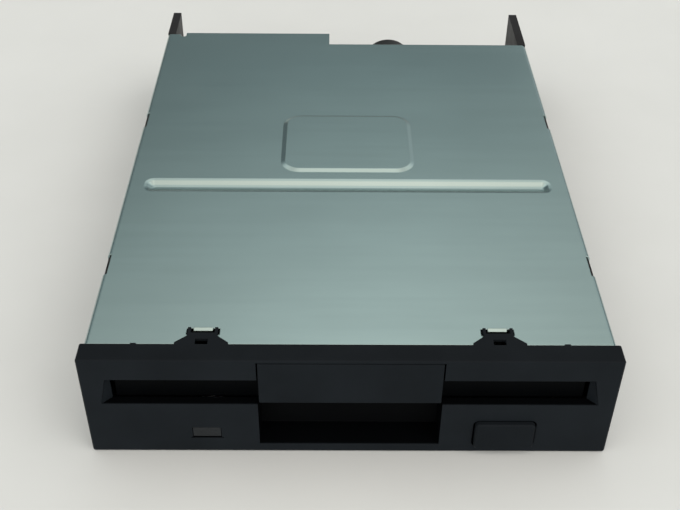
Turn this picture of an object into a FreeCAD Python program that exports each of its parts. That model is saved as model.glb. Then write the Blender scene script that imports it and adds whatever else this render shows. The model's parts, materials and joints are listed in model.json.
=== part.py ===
# Floppy disk drive for 3.5-inch disks, one inch high.
# Millimetres. X to the right seen from the front, Y back into the drive, Z up.
# The origin is the bottom centre of the whole drive.
# The drive is drawn empty: slider latched back, holder raised, heads apart, door shut.
import FreeCAD, Part
import math
import os

V = FreeCAD.Vector

# Whole drive
DEPTH = 146.0            # bezel face to the ends of the side rails
BODY_W = 101.6           # over the mounting faces of the rails
RAIL_STEP = 0.1          # mounting faces stand out from the upper walls
BEZEL_LIP = 0.5          # bezel stands out from the rails
BEZEL_H = 25.4
BEZEL_D = 4.4            # bezel face to its rear rim
BUTTON_PROUD = 1.0       # button face in front of the bezel face

# Fits
RUN_FIT = 0.05           # radial play of pins, shafts and plungers
PASS_GAP = 0.3           # air between pieces that pass each other
SEAT_FIT = 0.03          # pieces pressed or slipped over one another
ROOT = 0.5               # how far a fused feature reaches into what carries it

# Cover
COVER_T = 0.6
COVER_SETBACK = 5.0      # front edge behind the bezel face
WALL_OVERHANG = 19.3     # rails behind the cover's right rear edge
FLANGE_H = 5.5
BEND_R = 0.9
TAB_L = 6.4              # rear tab beyond the right rear edge
TAB_W = 40.0
TAB_SLIT_R = 0.8         # slit that frees the tab from the left flange
TAB_SLIT_L = 1.4
CORNER_CUT = 1.0         # clipped right rear corner
BEAD_MARGIN = 4.0        # bead end to the cover's side
BEAD_W = 5.2
BEAD_DEPTH = 0.9
BEAD_RUN = 2.3
BEAD_R = 2.1
BEAD_BACK = 52.5         # bead centre behind the cover's front edge
PANEL_W = 31.6           # raised panel
PANEL_L = 25.2
PANEL_R = 4.5
PANEL_RISE = 0.4
PANEL_RUN = 1.0
PANEL_BACK = 70.5        # its centre behind the cover's front edge
NOTCH_L = 6.4            # side notches
NOTCH_IN = 0.9
NOTCH_BACKS = (23.8, 80.8)
TONGUE_W = 3.7           # pressed-up tongues between the prongs of the bezel's clips
TONGUE_L = 0.7
TONGUE_RISE = 0.33

# Bezel
BEZEL_WALL = 2.0
BEZEL_RIM = 1.4
BEZEL_ROOF = 0.7
CORNER_R = 0.5
EDGE_CUT = 0.3
CLIP_T = 0.6
CLIP_X = 28.3
CLIP_L = 4.7             # behind the bezel's rim
CLIP_BASE_W = 10.2
CLIP_TIP_W = 5.8
CLIP_FORK_W = 4.6
CLIP_FORK_D = 1.5
CLIP_HOLE_W = 2.4
CLIP_HOLE_L = 1.5
HOOK_L = 1.2
HOOK_DROP = 0.4
FINGER_W = 35.6
FINGER_Z = 2.25          # bottom of the finger notch
FINGER_D = 8.0
FINGER_SLOPE = 2.0
FINGER_SLOPE_H = 6.0
POCKET_T = 1.0
LAMP_IN = 20.4           # lamp centre from the rail's inner face
LAMP_Z = 5.6
LAMP_W = 5.6
LAMP_H = 2.6
LAMP_L = 7.6
LAMP_SUNK = 0.1
LAMP_SLIT_H = 0.35       # open slit under the lens
LAMP_SLIT_W = 6.4
LAMP_LEAD_T = 0.5
LAMP_LEAD_PITCH = 2.54
BUTTON_IN = 18.0         # button centre from the rail's inner face
BUTTON_Z = 5.4
BUTTON_W = 11.8
BUTTON_H = 6.8
BUTTON_R = 0.9           # its rounded corners
BUTTON_WALL = 1.2
SOCKET_T = 0.9           # walls around the button and the lamp
FOOT_IN = 5.5            # bezel's feet from the rail's inner face
FOOT_W = 4.8
FOOT_T = 1.2
FOOT_L = 9.4
FOOT_HOOK = 1.1
PEG_IN = 9.5             # locating pegs from the cover's side
PEG_W = 1.1
PEG_L = 0.6
SLOT_EASE = 1.1          # slot's floor below the disk's path
SLOT_FLARE = 2.0         # slot is wider at the bezel face, at each end
SLOT_FLARE_H = 1.1       # and higher at its top
SLOT_SLANT = 1.5         # its ends lean in towards the top

# Door flap
FLAP_W = 35.0            # centre panel
FLAP_T = 1.4
FLAP_EDGE_R = 0.4
FLAP_AXIS_BACK = 3.4     # hinge behind the bezel face
FLAP_AXIS_DROP = 2.2     # hinge below the bezel's top
FLAP_BAR_R = 0.8
FLAP_PIN_L = 2.0
FLAP_WEB_T = 1.2
FLAP_RIB_T = 1.0
WING_T = 1.0
FLAP_SPRING_L = 3.6
FLAP_WIRE = 0.35

# Frame
WALL_T = 2.2
RAIL_H = 12.0
BOARD_Z = 1.6            # underside of the control board
BOARD_T = 1.6
STANDOFF = 1.4
FLOOR_T = 1.8
FLOOR_FRONT = 11.0       # floor's front edge behind the bezel face
RIB_T = 1.4
CORNER_BLOCK_W = 10.5
SIDE_HOLE_R = 1.25
SIDE_HOLE_Z = 5.0
SIDE_HOLE_BACK = 26.0
SIDE_HOLE_PITCH = 60.0
SIDE_HOLE_DEPTH = 4.8
BASE_HOLE_R = 1.25
BASE_HOLE_IN = 5.8       # from the rail's mounting face
BASE_HOLE_BACK = 36.0
BASE_HOLE_PITCH = 60.0
BASE_HOLE_DEPTH = 4.4
PAD_R = 3.0              # half width of the pads around the screw holes
PAD_CUT = 1.2
PAD_T = 1.0
BOARD_BOSS = 6.0
WINDOW_IN = 22.5         # floor windows from the rail's inner face
WINDOW_W = 10.0
WINDOW_CUT = 1.5

# Loading mechanism
TOP_ROOM = 5.8           # bezel's top to the holder's top
HOLDER_T = 0.6
HOLDER_H = 5.4
HOLDER_L = 82.0
HOLDER_FLARE = 0.8
HOLDER_FLARE_L = 2.6
HOLDER_BAY_W = 36.0
HOLDER_BAY_L = 5.0
HOLDER_WINDOW_L = 20.0
HOLDER_WINDOW_FRONT = 14.0 # in front of the spindle
HOLDER_WINDOW_IN = 9.0
LIP_W = 3.0
LOAD_DROP = 2.4
SLIDER_T = 0.7
SLIDER_BEND_R = 0.9
SLIDER_TRAVEL = 5.5
SLIDER_STRIP_W = 5.0
SLIDER_EAR = 9.0         # strip beyond the guide pins
SLIDER_EAR_H = 2.4       # flange above the guide pins
SLIDER_DIP_IN = 13.0     # dip between the cam ears, from each pin
TONGUE_GRIP_W = 7.0      # slider's tongue inside the button
GUIDE_PIN_R = 1.0
GUIDE_PIN_PITCH = 54.0
GUIDE_PIN_BACK = 30.0
GUIDE_GROOVE = 1.0
SPRING_HOOK_BACK = 7.5   # slider's spring hooks behind the first guide pin
SPRING_POST_L = 2.0
LEVER_T = 0.8
LEVER_HUB_R = 4.0
LEVER_PIVOT_R = 1.6
LEVER_STEP_R = 2.8
LEVER_REST = -56.3       # degrees from +X
LEVER_SWING = 36.0       # degrees
LEVER_TIP_R = 1.9
LEVER_ROOT_W = 5.2
LEVER_PIN_R = 1.0
LEVER_IN = 2.0           # pivot from the slider strip's inner edge
LEVER_BACK = 13.5        # pivot behind the outermost head place
CATCH_L = 11.0
CATCH_W = 6.3
CATCH_ARM_W = 2.6
LATCH_LUG_W = 2.4
LATCH_SPRING_R = 3.2
LATCH_SPRING_H = 1.6
RETAINER_R = 3.4
RETAINER_T = 0.5
SPRING_R = 1.5
SPRING_WIRE = 0.4

# Spindle motor
SPINDLE_BACK = 53.0
ROTOR_R = 23.0
ROTOR_T = 0.8
ROTOR_H = 4.4            # rotor's top above the motor plate
ROTOR_LIFT = 0.6         # rotor's rim above the motor plate
ROTOR_ROOM = 1.6
MAGNET_T = 2.6
HUB_R = 12.5
HUB_RISE = 0.5           # hub above the lowered holder's lips
SHAFT_R = 2.0
BEARING_R = 4.0
DRIVE_PIN_R = 1.2
DRIVE_PIN_OFF = 10.0
DRIVE_LEAF_L = 6.0
DRIVE_LEAF_W = 4.8
DRIVE_LEAF_T = 0.4
PLATE_T = 1.0
PLATE_FRONT = 40.0       # motor plate's edges from the spindle
PLATE_REAR = 34.0
PLATE_TAPER = 18.0
PLATE_TAPER_W = 4.0
PLATE_NOTCH_W = 12.0
PLATE_NOTCH_L = 6.0
TEETH = 9
TOOTH_W = 2.2
SHOE_W = 8.4
SHOE_T = 1.6
CORE_LIFT = 1.0
CORE_T = 1.6
CORE_R = 9.0
AIR_GAP = 0.4
COIL_W = 5.0
COIL_H = 2.6
COIL_L = 7.0

# Head positioner
TRACK0_R = 39.5
HEAD_TRAVEL = 14.8
HEAD_LIFT = 10.5         # degrees that the upper arm is raised
HEAD_W = 4.8
HEAD_L = 4.0
HEAD_PLATE_W = 6.8
HEAD_PLATE_L = 5.6
HEAD_PLATE_T = 0.8
HEAD_AIR = 0.1
ROD_R = 1.5
ROD_X = -10.5
ROD_RISE = 3.2           # rod axis above the floor
ROD_FRONT = 2.3          # rod's front end behind the innermost head place
ROD_BEHIND = 29.0
CRADLE_L = 4.0
CRADLE_OUT = 4.4
CRADLE_IN = 2.8
CLAMP_T = 0.6
SLEEVE_OUT = 2.7
SLEEVE_IN = 3.2
SLEEVE_TOP = 2.4
SLEEVE_FRONT = 8.0
SLEEVE_L = 16.0
CARRIER_L = 12.0         # block that carries the follower
DECK_T = 2.0
DECK_LIFT = 0.4
DECK_L = 24.0
DECK_FRONT = 4.0
NOSE_W = 9.0
NOSE_T = 1.4
NOSE_FRONT = 3.0
TOWER_IN = 4.6
TOWER_T = 2.0
TOWER_L = 5.2
TOWER_TOP = 1.6
FLAG_T = 1.0
FLAG_L = 4.0
ARM_BACK = 25.0
ARM_RISE = 2.2           # arm hinge above the disk
ARM_AXLE_R = 0.8
ARM_T = 1.2
ARM_W = 8.4
ARM_NECK_W = 10.0
ARM_RIB_T = 0.8
ARM_SPRING_T = 0.3
SCREW_R = 1.5
SCREW_X = 12.6
SCREW_RISE = 6.7
SCREW_TIP_R = 0.8
FOLLOWER_T = 0.5
FOLLOWER_L = 6.0
FOLLOWER_BACK = 17.0
BUSH_R = 1.6
BUSH_RIM_R = 2.3
BUSH_RIM_T = 0.6
STEPPER_R = 7.0
STEPPER_L = 14.8
BRACKET_T = 1.2
BRACKET_FRONT = 5.3      # behind the innermost head place
BRACKET_BEHIND = 30.5    # behind the outermost head place
BRACKET_STRIP_IN = 5.5   # from the screw
BRACKET_STRIP_OUT = 10.0
BRACKET_EAR = 2.6
FLOOR_TAIL = 1.8
SENSOR_W = 6.8
SENSOR_L = 4.0
SENSOR_H = 4.2
SENSOR_SLOT = 2.0
FLEX_T = 0.2
FLEX_W = 5.4
FLEX_RISE = 2.0

# Boards and connectors
BOARD_LEAD = 9.5         # board's front edge behind the outermost head place
BOARD_TAIL = 4.0         # board's rear edge behind the stepper
BOARD_SIDE = 2.5
BOARD_CUT = 3.0
HEADER_SET = 10.0        # connectors from the board's rear edge
HEADER_GAP = 1.7         # signal header from the rail
HEADER_END = 0.6
HEADER_T = 3.0
HEADER_H = 6.4
KEY_W = 4.4
KEY_T = 1.2
PIN_PITCH = 2.54
PIN_COLUMNS = 17
PIN_MISSING = 14
PIN_T = 0.64
PIN_L = 6.2
PIN_RISE = 2.0
POWER_IN = 13.0          # power connector from the rail's inner face
POWER_PITCH = 2.5
POWER_PINS = 4
POWER_PIN_T = 0.9
POWER_RISE = 3.6
SHELF_T = 1.2
CHIP_W = 12.0
CHIP_H = 1.1
CHIP_LEAD = 1.2
CHIP_LEAD_T = 0.4
CHIP_X = -20.0
DRIVER_W = 16.0
DRIVER_L = 8.0
DRIVER_H = 1.6
DRIVER_FRONT = 26.0      # in front of the spindle
CAP_W = 4.3
CAP_L = 5.2
CAP_H = 2.8
SWITCH_W = 5.4
SWITCH_L = 5.6
SWITCH_SET = 4.6         # switches behind the floor's front edge
SWITCH_FLOOR = 0.3
PLUNGER_W = 2.2
PLUNGER_STROKE = 1.3
PLUNGER_PROUD = 1.2      # still standing out when pressed
WRITE_PROTECT_IN = 4.5   # switches from the slider strip's inner edge
DISK_IN_IN = 11.5
DENSITY_IN = 4.0

# Derived: envelope
FRONT = -(DEPTH + BUTTON_PROUD) / 2 + BUTTON_PROUD
REAR = FRONT + DEPTH
RAIL_X = BODY_W / 2
WALL_X = RAIL_X - RAIL_STEP
WALL_IN = WALL_X - WALL_T
BEZEL_X = RAIL_X + BEZEL_LIP
RIM_Y = FRONT + BEZEL_D
COVER_TOP = BEZEL_H - CLIP_T
COVER_IN = COVER_TOP - COVER_T
COVER_Y0 = FRONT + COVER_SETBACK
COVER_Y1 = REAR - WALL_OVERHANG
TAB_Y1 = COVER_Y1 + TAB_L
FLANGE_Z = COVER_TOP - FLANGE_H
FLANGE_SEAT_X = WALL_X - BEND_R - RUN_FIT
LAMP_X = -(WALL_IN - LAMP_IN)
BUTTON_X = WALL_IN - BUTTON_IN
FOOT_X = WALL_IN - FOOT_IN
BASE_HOLE_X = RAIL_X - BASE_HOLE_IN

# Derived: levels
BOARD_TOP = BOARD_Z + BOARD_T
FLOOR_Z0 = BOARD_TOP + STANDOFF
FLOOR_Z1 = FLOOR_Z0 + FLOOR_T
PLATE_Z0 = FLOOR_Z0 - PLATE_T
HOLDER_Z1 = BEZEL_H - TOP_ROOM
HOLDER_Z0 = HOLDER_Z1 - HOLDER_H
SLIDER_Z0 = FLOOR_Z1 + RUN_FIT
SLIDER_Z1 = SLIDER_Z0 + SLIDER_T
LEVER_Z0 = SLIDER_Z1 + 2 * PASS_GAP
LEVER_Z1 = LEVER_Z0 + LEVER_T
LATCH_SPRING_Z = LEVER_Z1 + PASS_GAP
RETAINER_Z = LATCH_SPRING_Z + LATCH_SPRING_H
GUIDE_PIN_Z = (HOLDER_Z0 + HOLDER_Z1) / 2

# Derived: loading mechanism across the drive
SLIDER_X = WALL_IN - 5 * PASS_GAP
SLIDER_IN = SLIDER_X - SLIDER_T
HOLDER_X = SLIDER_IN - PASS_GAP - 2 * RUN_FIT
HOLDER_IN = HOLDER_X - HOLDER_T
STRIP_IN = SLIDER_X - SLIDER_STRIP_W
SPRING_X = (STRIP_IN + SLIDER_IN) / 2
SLOT_X = HOLDER_IN + 2 * PASS_GAP
SLOT_Z0 = HOLDER_Z0 + HOLDER_T - 2 * RUN_FIT - SLOT_EASE
SLOT_Z1 = HOLDER_Z1 - HOLDER_T + 2 * RUN_FIT

# Derived: door flap
FLAP_Y = FRONT + FLAP_AXIS_BACK
FLAP_Z = BEZEL_H - FLAP_AXIS_DROP
FLAP_BOTTOM = SLOT_Z0 + PASS_GAP
FLAP_TOP = BEZEL_H - BEZEL_ROOF - PASS_GAP
FLAP_REACH = math.hypot(FLAP_AXIS_BACK, FLAP_Z - FLAP_BOTTOM)
WING_Y0 = FRONT + BEZEL_WALL + 2 * PASS_GAP
WING_X = SLOT_X - 2 * PASS_GAP
FLAP_BAR_X = SLOT_X + RUN_FIT
HOLDER_Y0 = FLAP_Y + FLAP_REACH + BEZEL_WALL
HOLDER_Y1 = HOLDER_Y0 + HOLDER_L

# Derived: loading mechanism along the drive
FLOOR_Y0 = FRONT + FLOOR_FRONT
SLIDER_Y0 = FRONT + GUIDE_PIN_BACK - SLIDER_EAR
SLIDER_Y1 = FRONT + GUIDE_PIN_BACK + GUIDE_PIN_PITCH + SLIDER_EAR
SPRING_Y0 = FLOOR_Y0 + SPRING_POST_L + PAD_T
SPRING_Y1 = FRONT + GUIDE_PIN_BACK + SPRING_HOOK_BACK

# Derived: spindle and head places
SPINDLE_Y = FRONT + SPINDLE_BACK
LAMP_LEAD_Y = SPINDLE_Y - PLATE_FRONT + 2 * RIB_T
ROTOR_Z1 = FLOOR_Z0 + ROTOR_H
MAGNET_R = ROTOR_R - ROTOR_T - SEAT_FIT
STATOR_R = MAGNET_R - MAGNET_T - AIR_GAP
HUB_TOP = HOLDER_Z0 - LOAD_DROP + HOLDER_T + HUB_RISE
CENTRE_TOP = HOLDER_Z0
HEAD_Y = SPINDLE_Y + TRACK0_R
INNER_HEAD_Y = HEAD_Y - HEAD_TRAVEL
MEDIA_Z = HOLDER_Z0 - LOAD_DROP + HOLDER_H / 2 - HEAD_AIR
ROD_Z = FLOOR_Z1 + ROD_RISE
SCREW_Z = FLOOR_Z1 + SCREW_RISE
ROD_Y0 = INNER_HEAD_Y + ROD_FRONT
ROD_Y1 = HEAD_Y + ROD_BEHIND
CRADLES = ((ROD_Y0, ROD_Y0 + CRADLE_L), (ROD_Y1 - CRADLE_L, ROD_Y1))
BRACKET_Y0 = INNER_HEAD_Y + BRACKET_FRONT
BRACKET_Y1 = HEAD_Y + BRACKET_BEHIND
STEPPER_Y0 = BRACKET_Y1 + BRACKET_T
ARM_Y = HEAD_Y + ARM_BACK
ARM_Z = MEDIA_Z + ARM_RISE
CARRIAGE_X0 = ROD_X - SLEEVE_OUT
CARRIAGE_Z0 = FLOOR_Z1 + 2 * PASS_GAP
DECK_Z0 = CARRIAGE_Z0 + DECK_LIFT
DECK_Z1 = DECK_Z0 + DECK_T
FLOOR_REAR = STEPPER_Y0 + FLOOR_TAIL

# Derived: latch lever
LEVER_X = -(STRIP_IN - LEVER_IN)
LEVER_Y = HEAD_Y + LEVER_BACK
LEVER_REACH = CARRIAGE_X0 - LEVER_PIN_R - LEVER_TIP_R - LEVER_X
LEVER_ARM = LEVER_REACH / math.cos(math.radians(LEVER_REST + LEVER_SWING))

# Derived: boards, connectors and switches
BOARD_Y0 = HEAD_Y + BOARD_LEAD
BOARD_Y1 = STEPPER_Y0 + STEPPER_L + BOARD_TAIL
BOARD_X = WALL_IN - BOARD_SIDE
HEADER_Y = BOARD_Y1 - HEADER_SET
HEADER_L = PIN_COLUMNS * PIN_PITCH + 2 * HEADER_END
HEADER_X = -(WALL_IN - HEADER_GAP - HEADER_L / 2)
POWER_X = WALL_IN - POWER_IN
TAB_X = HEADER_X
SWITCH_Y = FLOOR_Y0 + SWITCH_SET
SWITCH_TOP = HOLDER_Z0 - LOAD_DROP - ROOT
WRITE_PROTECT_X = -(STRIP_IN - WRITE_PROTECT_IN)
DISK_IN_X = -(STRIP_IN - DISK_IN_IN)
DENSITY_X = STRIP_IN - DENSITY_IN
SWITCHES = (("write_protect", WRITE_PROTECT_X), ("disk_in", DISK_IN_X), ("density", DENSITY_X))


def box(x0, x1, y0, y1, z0, z1):
    return Part.makeBox(x1 - x0, y1 - y0, z1 - z0, V(x0, y0, z0))


def rod_x(y, z, r, x0, x1):
    return Part.makeCylinder(r, x1 - x0, V(x0, y, z), V(1, 0, 0))


def rod_y(x, z, r, y0, y1):
    return Part.makeCylinder(r, y1 - y0, V(x, y0, z), V(0, 1, 0))


def rod_z(x, y, r, z0, z1):
    return Part.makeCylinder(r, z1 - z0, V(x, y, z0))


def ring_z(x, y, r_out, r_in, z0, z1):
    return rod_z(x, y, r_out, z0, z1).cut(rod_z(x, y, r_in, z0 - 1, z1 + 1))


def outline(points, place):
    """Closed wire through corners; a third value rounds that corner. place() puts a corner in space."""
    flat = [V(p[0], p[1], 0) for p in points]
    stretches = []
    for i, point in enumerate(points):
        here = flat[i]
        if len(point) < 3:
            stretches.append((here, None, here))
            continue
        back = (flat[i - 1] - here).normalize()
        ahead = (flat[(i + 1) % len(flat)] - here).normalize()
        half = back.getAngle(ahead) / 2
        run = point[2] / math.tan(half)
        middle = here + (back + ahead).normalize() * (point[2] / math.sin(half) - point[2])
        stretches.append((here + back * run, middle, here + ahead * run))
    edges = []
    for i, (start, middle, stop) in enumerate(stretches):
        if middle is not None:
            edges.append(Part.Arc(place(start), place(middle), place(stop)).toShape())
        following = stretches[(i + 1) % len(stretches)][0]
        edges.append(Part.makeLine(place(stop), place(following)))
    return Part.Wire(edges)


def prism_x(points, x0, x1):
    wire = outline(points, lambda p: V(x0, p.x, p.y))
    return Part.Face(wire).extrude(V(x1 - x0, 0, 0))


def rounded(x, y, half_w, half_h, r):
    """Corners of a rectangle about a middle, all rounded alike."""
    return [(x + sx * half_w, y + sy * half_h, r) for sx, sy in ((-1, -1), (1, -1), (1, 1), (-1, 1))]


def prism_y(points, y0, y1):
    wire = outline(points, lambda p: V(p.x, y0, p.y))
    return Part.Face(wire).extrude(V(0, y1 - y0, 0))


def prism_z(points, z0, z1):
    wire = outline(points, lambda p: V(p.x, p.y, z0))
    return Part.Face(wire).extrude(V(0, 0, z1 - z0))


def turned_z(points, x, y):
    wire = outline(points, lambda p: V(x + p.x, y, p.y))
    return Part.Face(wire).revolve(V(x, y, 0), V(0, 0, 1), 360)


def join(first, *rest):
    return first.multiFuse(list(rest)).removeSplitter()


def octagon(x, y, r):
    """Corners of a regular octagon with its flats at r from the middle."""
    return clipped_rect(x - r, x + r, y - r, y + r, (2 - math.sqrt(2)) * r)


def mirrored(shape):
    return shape.mirror(V(0, 0, 0), V(1, 0, 0))


def both_sides(shape):
    return [shape, mirrored(shape)]


def spun(shape, count):
    """Copies of a shape spread around the spindle; the first one lies along +X."""
    copies = [shape.rotated(V(0, 0, 0), V(0, 0, 1), 360 / count * i) for i in range(count)]
    return [copy.translated(V(0, SPINDLE_Y, 0)) for copy in copies]


def clipped_rect(x0, x1, y0, y1, cut):
    """Corners of a rectangle with its corners cut off."""
    corners = [(x0 + cut, y0), (x1 - cut, y0), (x1, y0 + cut), (x1, y1 - cut)]
    return corners + [(x1 - cut, y1), (x0 + cut, y1), (x0, y1 - cut), (x0, y0 + cut)]


def pressed(y, z, w, l, r, steps):
    """Solid of a pressed form on the centre line: rounded rectangles stepping inward as they rise or sink."""
    wires = []
    for inset, rise in steps:
        a = w / 2 - inset
        b = l / 2 - inset
        c = min(max(r - inset, CORNER_R), 0.9 * b)
        corners = ((-a, y - b, c), (a, y - b, c), (a, y + b, c), (-a, y + b, c))
        wires.append(outline(corners, lambda p: V(p.x, p.y, z + rise)))
    return Part.makeLoft(wires, True, True)


def s_curve(depth, run):
    """Inset and depth down a pressed slope that is rounded at its top and bottom."""
    return [(0, 0), (0.3 * run, 0.16 * depth), (0.7 * run, 0.84 * depth), (run, depth)]


def front_edges(shape, y):
    return [e for e in shape.Edges if all(abs(v.Point.y - y) < 1e-6 for v in e.Vertexes)]


def guide_pin_places():
    return [FRONT + GUIDE_PIN_BACK + i * GUIDE_PIN_PITCH for i in range(2)]


def side_hole_places():
    return [FRONT + SIDE_HOLE_BACK + i * SIDE_HOLE_PITCH for i in range(2)]


def base_hole_places():
    return [FRONT + BASE_HOLE_BACK + i * BASE_HOLE_PITCH for i in range(2)]


def top_cover():
    inside = WALL_X - COVER_T
    inner_r = BEND_R - COVER_T
    section = [(-WALL_X, FLANGE_Z), (-WALL_X, COVER_TOP, BEND_R), (WALL_X, COVER_TOP, BEND_R)]
    section += [(WALL_X, FLANGE_Z), (inside, FLANGE_Z), (inside, COVER_IN, inner_r)]
    section += [(-inside, COVER_IN, inner_r), (-inside, FLANGE_Z)]
    sheet = prism_y(section, COVER_Y0, TAB_Y1)

    low = FLANGE_Z - 1
    top = COVER_TOP + 1
    tab_x0 = TAB_X - TAB_W / 2
    tab_x1 = TAB_X + TAB_W / 2
    slit_x = tab_x0 - 2 * TAB_SLIT_R
    slit_y = TAB_Y1 - TAB_SLIT_L
    corner = ((WALL_X - CORNER_CUT, COVER_Y1), (WALL_X + 1, COVER_Y1),
              (WALL_X + 1, COVER_Y1 - CORNER_CUT - 1))
    cuts = [box(tab_x1, WALL_X + 1, COVER_Y1, TAB_Y1 + 1, low, top)]
    cuts.append(prism_z(corner, low, top))
    cuts.append(box(-WALL_X - 1, slit_x, TAB_Y1 - TAB_SLIT_R, TAB_Y1 + 1, low, top))
    cuts.append(rod_z(slit_x, slit_y, TAB_SLIT_R, COVER_IN - 1, top))
    cuts.append(box(slit_x - TAB_SLIT_R, slit_x + TAB_SLIT_R, slit_y, TAB_Y1 + 1, COVER_IN - 1, top))
    for back in NOTCH_BACKS:
        y = COVER_Y0 + back
        notch = box(WALL_X - NOTCH_IN, WALL_X + 1, y - NOTCH_L / 2, y + NOTCH_L / 2, low, top)
        cuts.extend(both_sides(notch))
    hook_half = CLIP_TIP_W / 2 + PASS_GAP
    hook_y = RIM_Y + CLIP_L + PASS_GAP
    slot = box(CLIP_X - hook_half, CLIP_X + hook_half, hook_y - HOOK_L - 2 * PASS_GAP, hook_y, low, top)
    half = TONGUE_W / 2
    kept = box(CLIP_X - half, CLIP_X + half, hook_y - TONGUE_L, hook_y + 1, low, top)
    cuts.extend(both_sides(slot.cut(kept)))
    hole = CLIP_HOLE_W / 2 + PASS_GAP
    front_notch = box(CLIP_X - hole, CLIP_X + hole, RIM_Y, RIM_Y + CLIP_HOLE_L + PASS_GAP, low, top)
    cuts.extend(both_sides(front_notch))
    sheet = sheet.cut(cuts)

    y = COVER_Y0 + BEAD_BACK
    bead_l = 2 * (WALL_X - BEAD_MARGIN)
    under = ((0, 0), (BEAD_RUN, -BEAD_DEPTH))
    form = pressed(y, COVER_IN, bead_l + COVER_T, BEAD_W + COVER_T, BEAD_R + COVER_T / 2, under)
    bead = pressed(y, COVER_TOP, bead_l, BEAD_W, BEAD_R, s_curve(-BEAD_DEPTH, BEAD_RUN))
    y = COVER_Y0 + PANEL_BACK
    under = ((0, 0), (PANEL_RUN, PANEL_RISE))
    raised_panel = pressed(y, COVER_TOP, PANEL_W, PANEL_L, PANEL_R, under)
    hollow = pressed(y, COVER_IN, PANEL_W - COVER_T, PANEL_L - COVER_T, PANEL_R - COVER_T / 2, under)
    ramp = ((hook_y - TONGUE_L, COVER_IN), (hook_y, COVER_IN), (hook_y, COVER_TOP + TONGUE_RISE))
    ramp += ((hook_y - TONGUE_L, COVER_TOP),)
    tongue = prism_x(ramp, CLIP_X - half, CLIP_X + half)
    sheet = join(sheet, form, raised_panel).cut([bead, hollow])
    return join(sheet, *both_sides(tongue))


def bezel_clip():
    """Clip on the bezel's top, at the right: a flared strap with a hole, a forked tip and two hooks."""
    x = CLIP_X
    y0 = RIM_Y - ROOT
    y1 = RIM_Y + CLIP_L
    base = CLIP_BASE_W / 2
    tip = CLIP_TIP_W / 2
    fork = CLIP_FORK_W / 2
    taper_y = RIM_Y + CLIP_L / 2
    strap = [(x - base, y0), (x + base, y0), (x + base, RIM_Y + ROOT), (x + tip, taper_y), (x + tip, y1)]
    strap += [(x + fork, y1), (x + fork, y1 - CLIP_FORK_D), (x - fork, y1 - CLIP_FORK_D), (x - fork, y1)]
    strap += [(x - tip, y1), (x - tip, taper_y), (x - base, RIM_Y + ROOT)]
    half = CLIP_HOLE_W / 2
    hole = box(x - half, x + half, RIM_Y, RIM_Y + CLIP_HOLE_L, COVER_TOP - 1, BEZEL_H + 1)
    clip = prism_z(strap, COVER_TOP, BEZEL_H).cut(hole)
    hook_z = COVER_IN - HOOK_DROP
    hooks = [box(x - tip, x - fork, y1 - HOOK_L, y1, hook_z, COVER_TOP)]
    hooks.append(box(x + fork, x + tip, y1 - HOOK_L, y1, hook_z, COVER_TOP))
    return join(clip, *hooks)


def bezel_foot():
    """Hooked foot under the right frame corner."""
    x0 = FOOT_X - FOOT_W / 2
    y0 = FRONT + BEZEL_WALL - ROOT
    y1 = FRONT + FOOT_L
    z0 = BEZEL_RIM - SOCKET_T / 4
    z1 = z0 + FOOT_T
    side = ((y0, z0), (y1, z0), (y1, z1 + FOOT_HOOK), (y1 - FOOT_T, z1 + FOOT_HOOK), (y1 - FOOT_T, z1),
            (y0, z1))
    return prism_x(side, x0, x0 + FOOT_W)


def disk_slot():
    """Opening for the disk: widest at the bezel face, with ends that lean in, where three profiles meet."""
    y0 = FRONT - BEZEL_WALL
    y1 = FRONT + BEZEL_WALL
    end = y1 + ROOT
    top = SLOT_Z1 + SLOT_FLARE_H
    x = SLOT_X + SLOT_FLARE
    face = ((-x, SLOT_Z0), (x, SLOT_Z0), (x - SLOT_SLANT, top), (SLOT_SLANT - x, top))
    x = SLOT_X + 2 * SLOT_FLARE
    plan = ((-x, y0), (x, y0), (SLOT_X, y1), (SLOT_X, end), (-SLOT_X, end), (-SLOT_X, y1))
    side = ((y0, SLOT_Z0), (end, SLOT_Z0), (end, SLOT_Z1), (y1, SLOT_Z1), (y0, top + SLOT_FLARE_H))
    return prism_y(face, y0, end).common(prism_z(plan, SLOT_Z0, top)).common(prism_x(side, -x, x))


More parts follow.
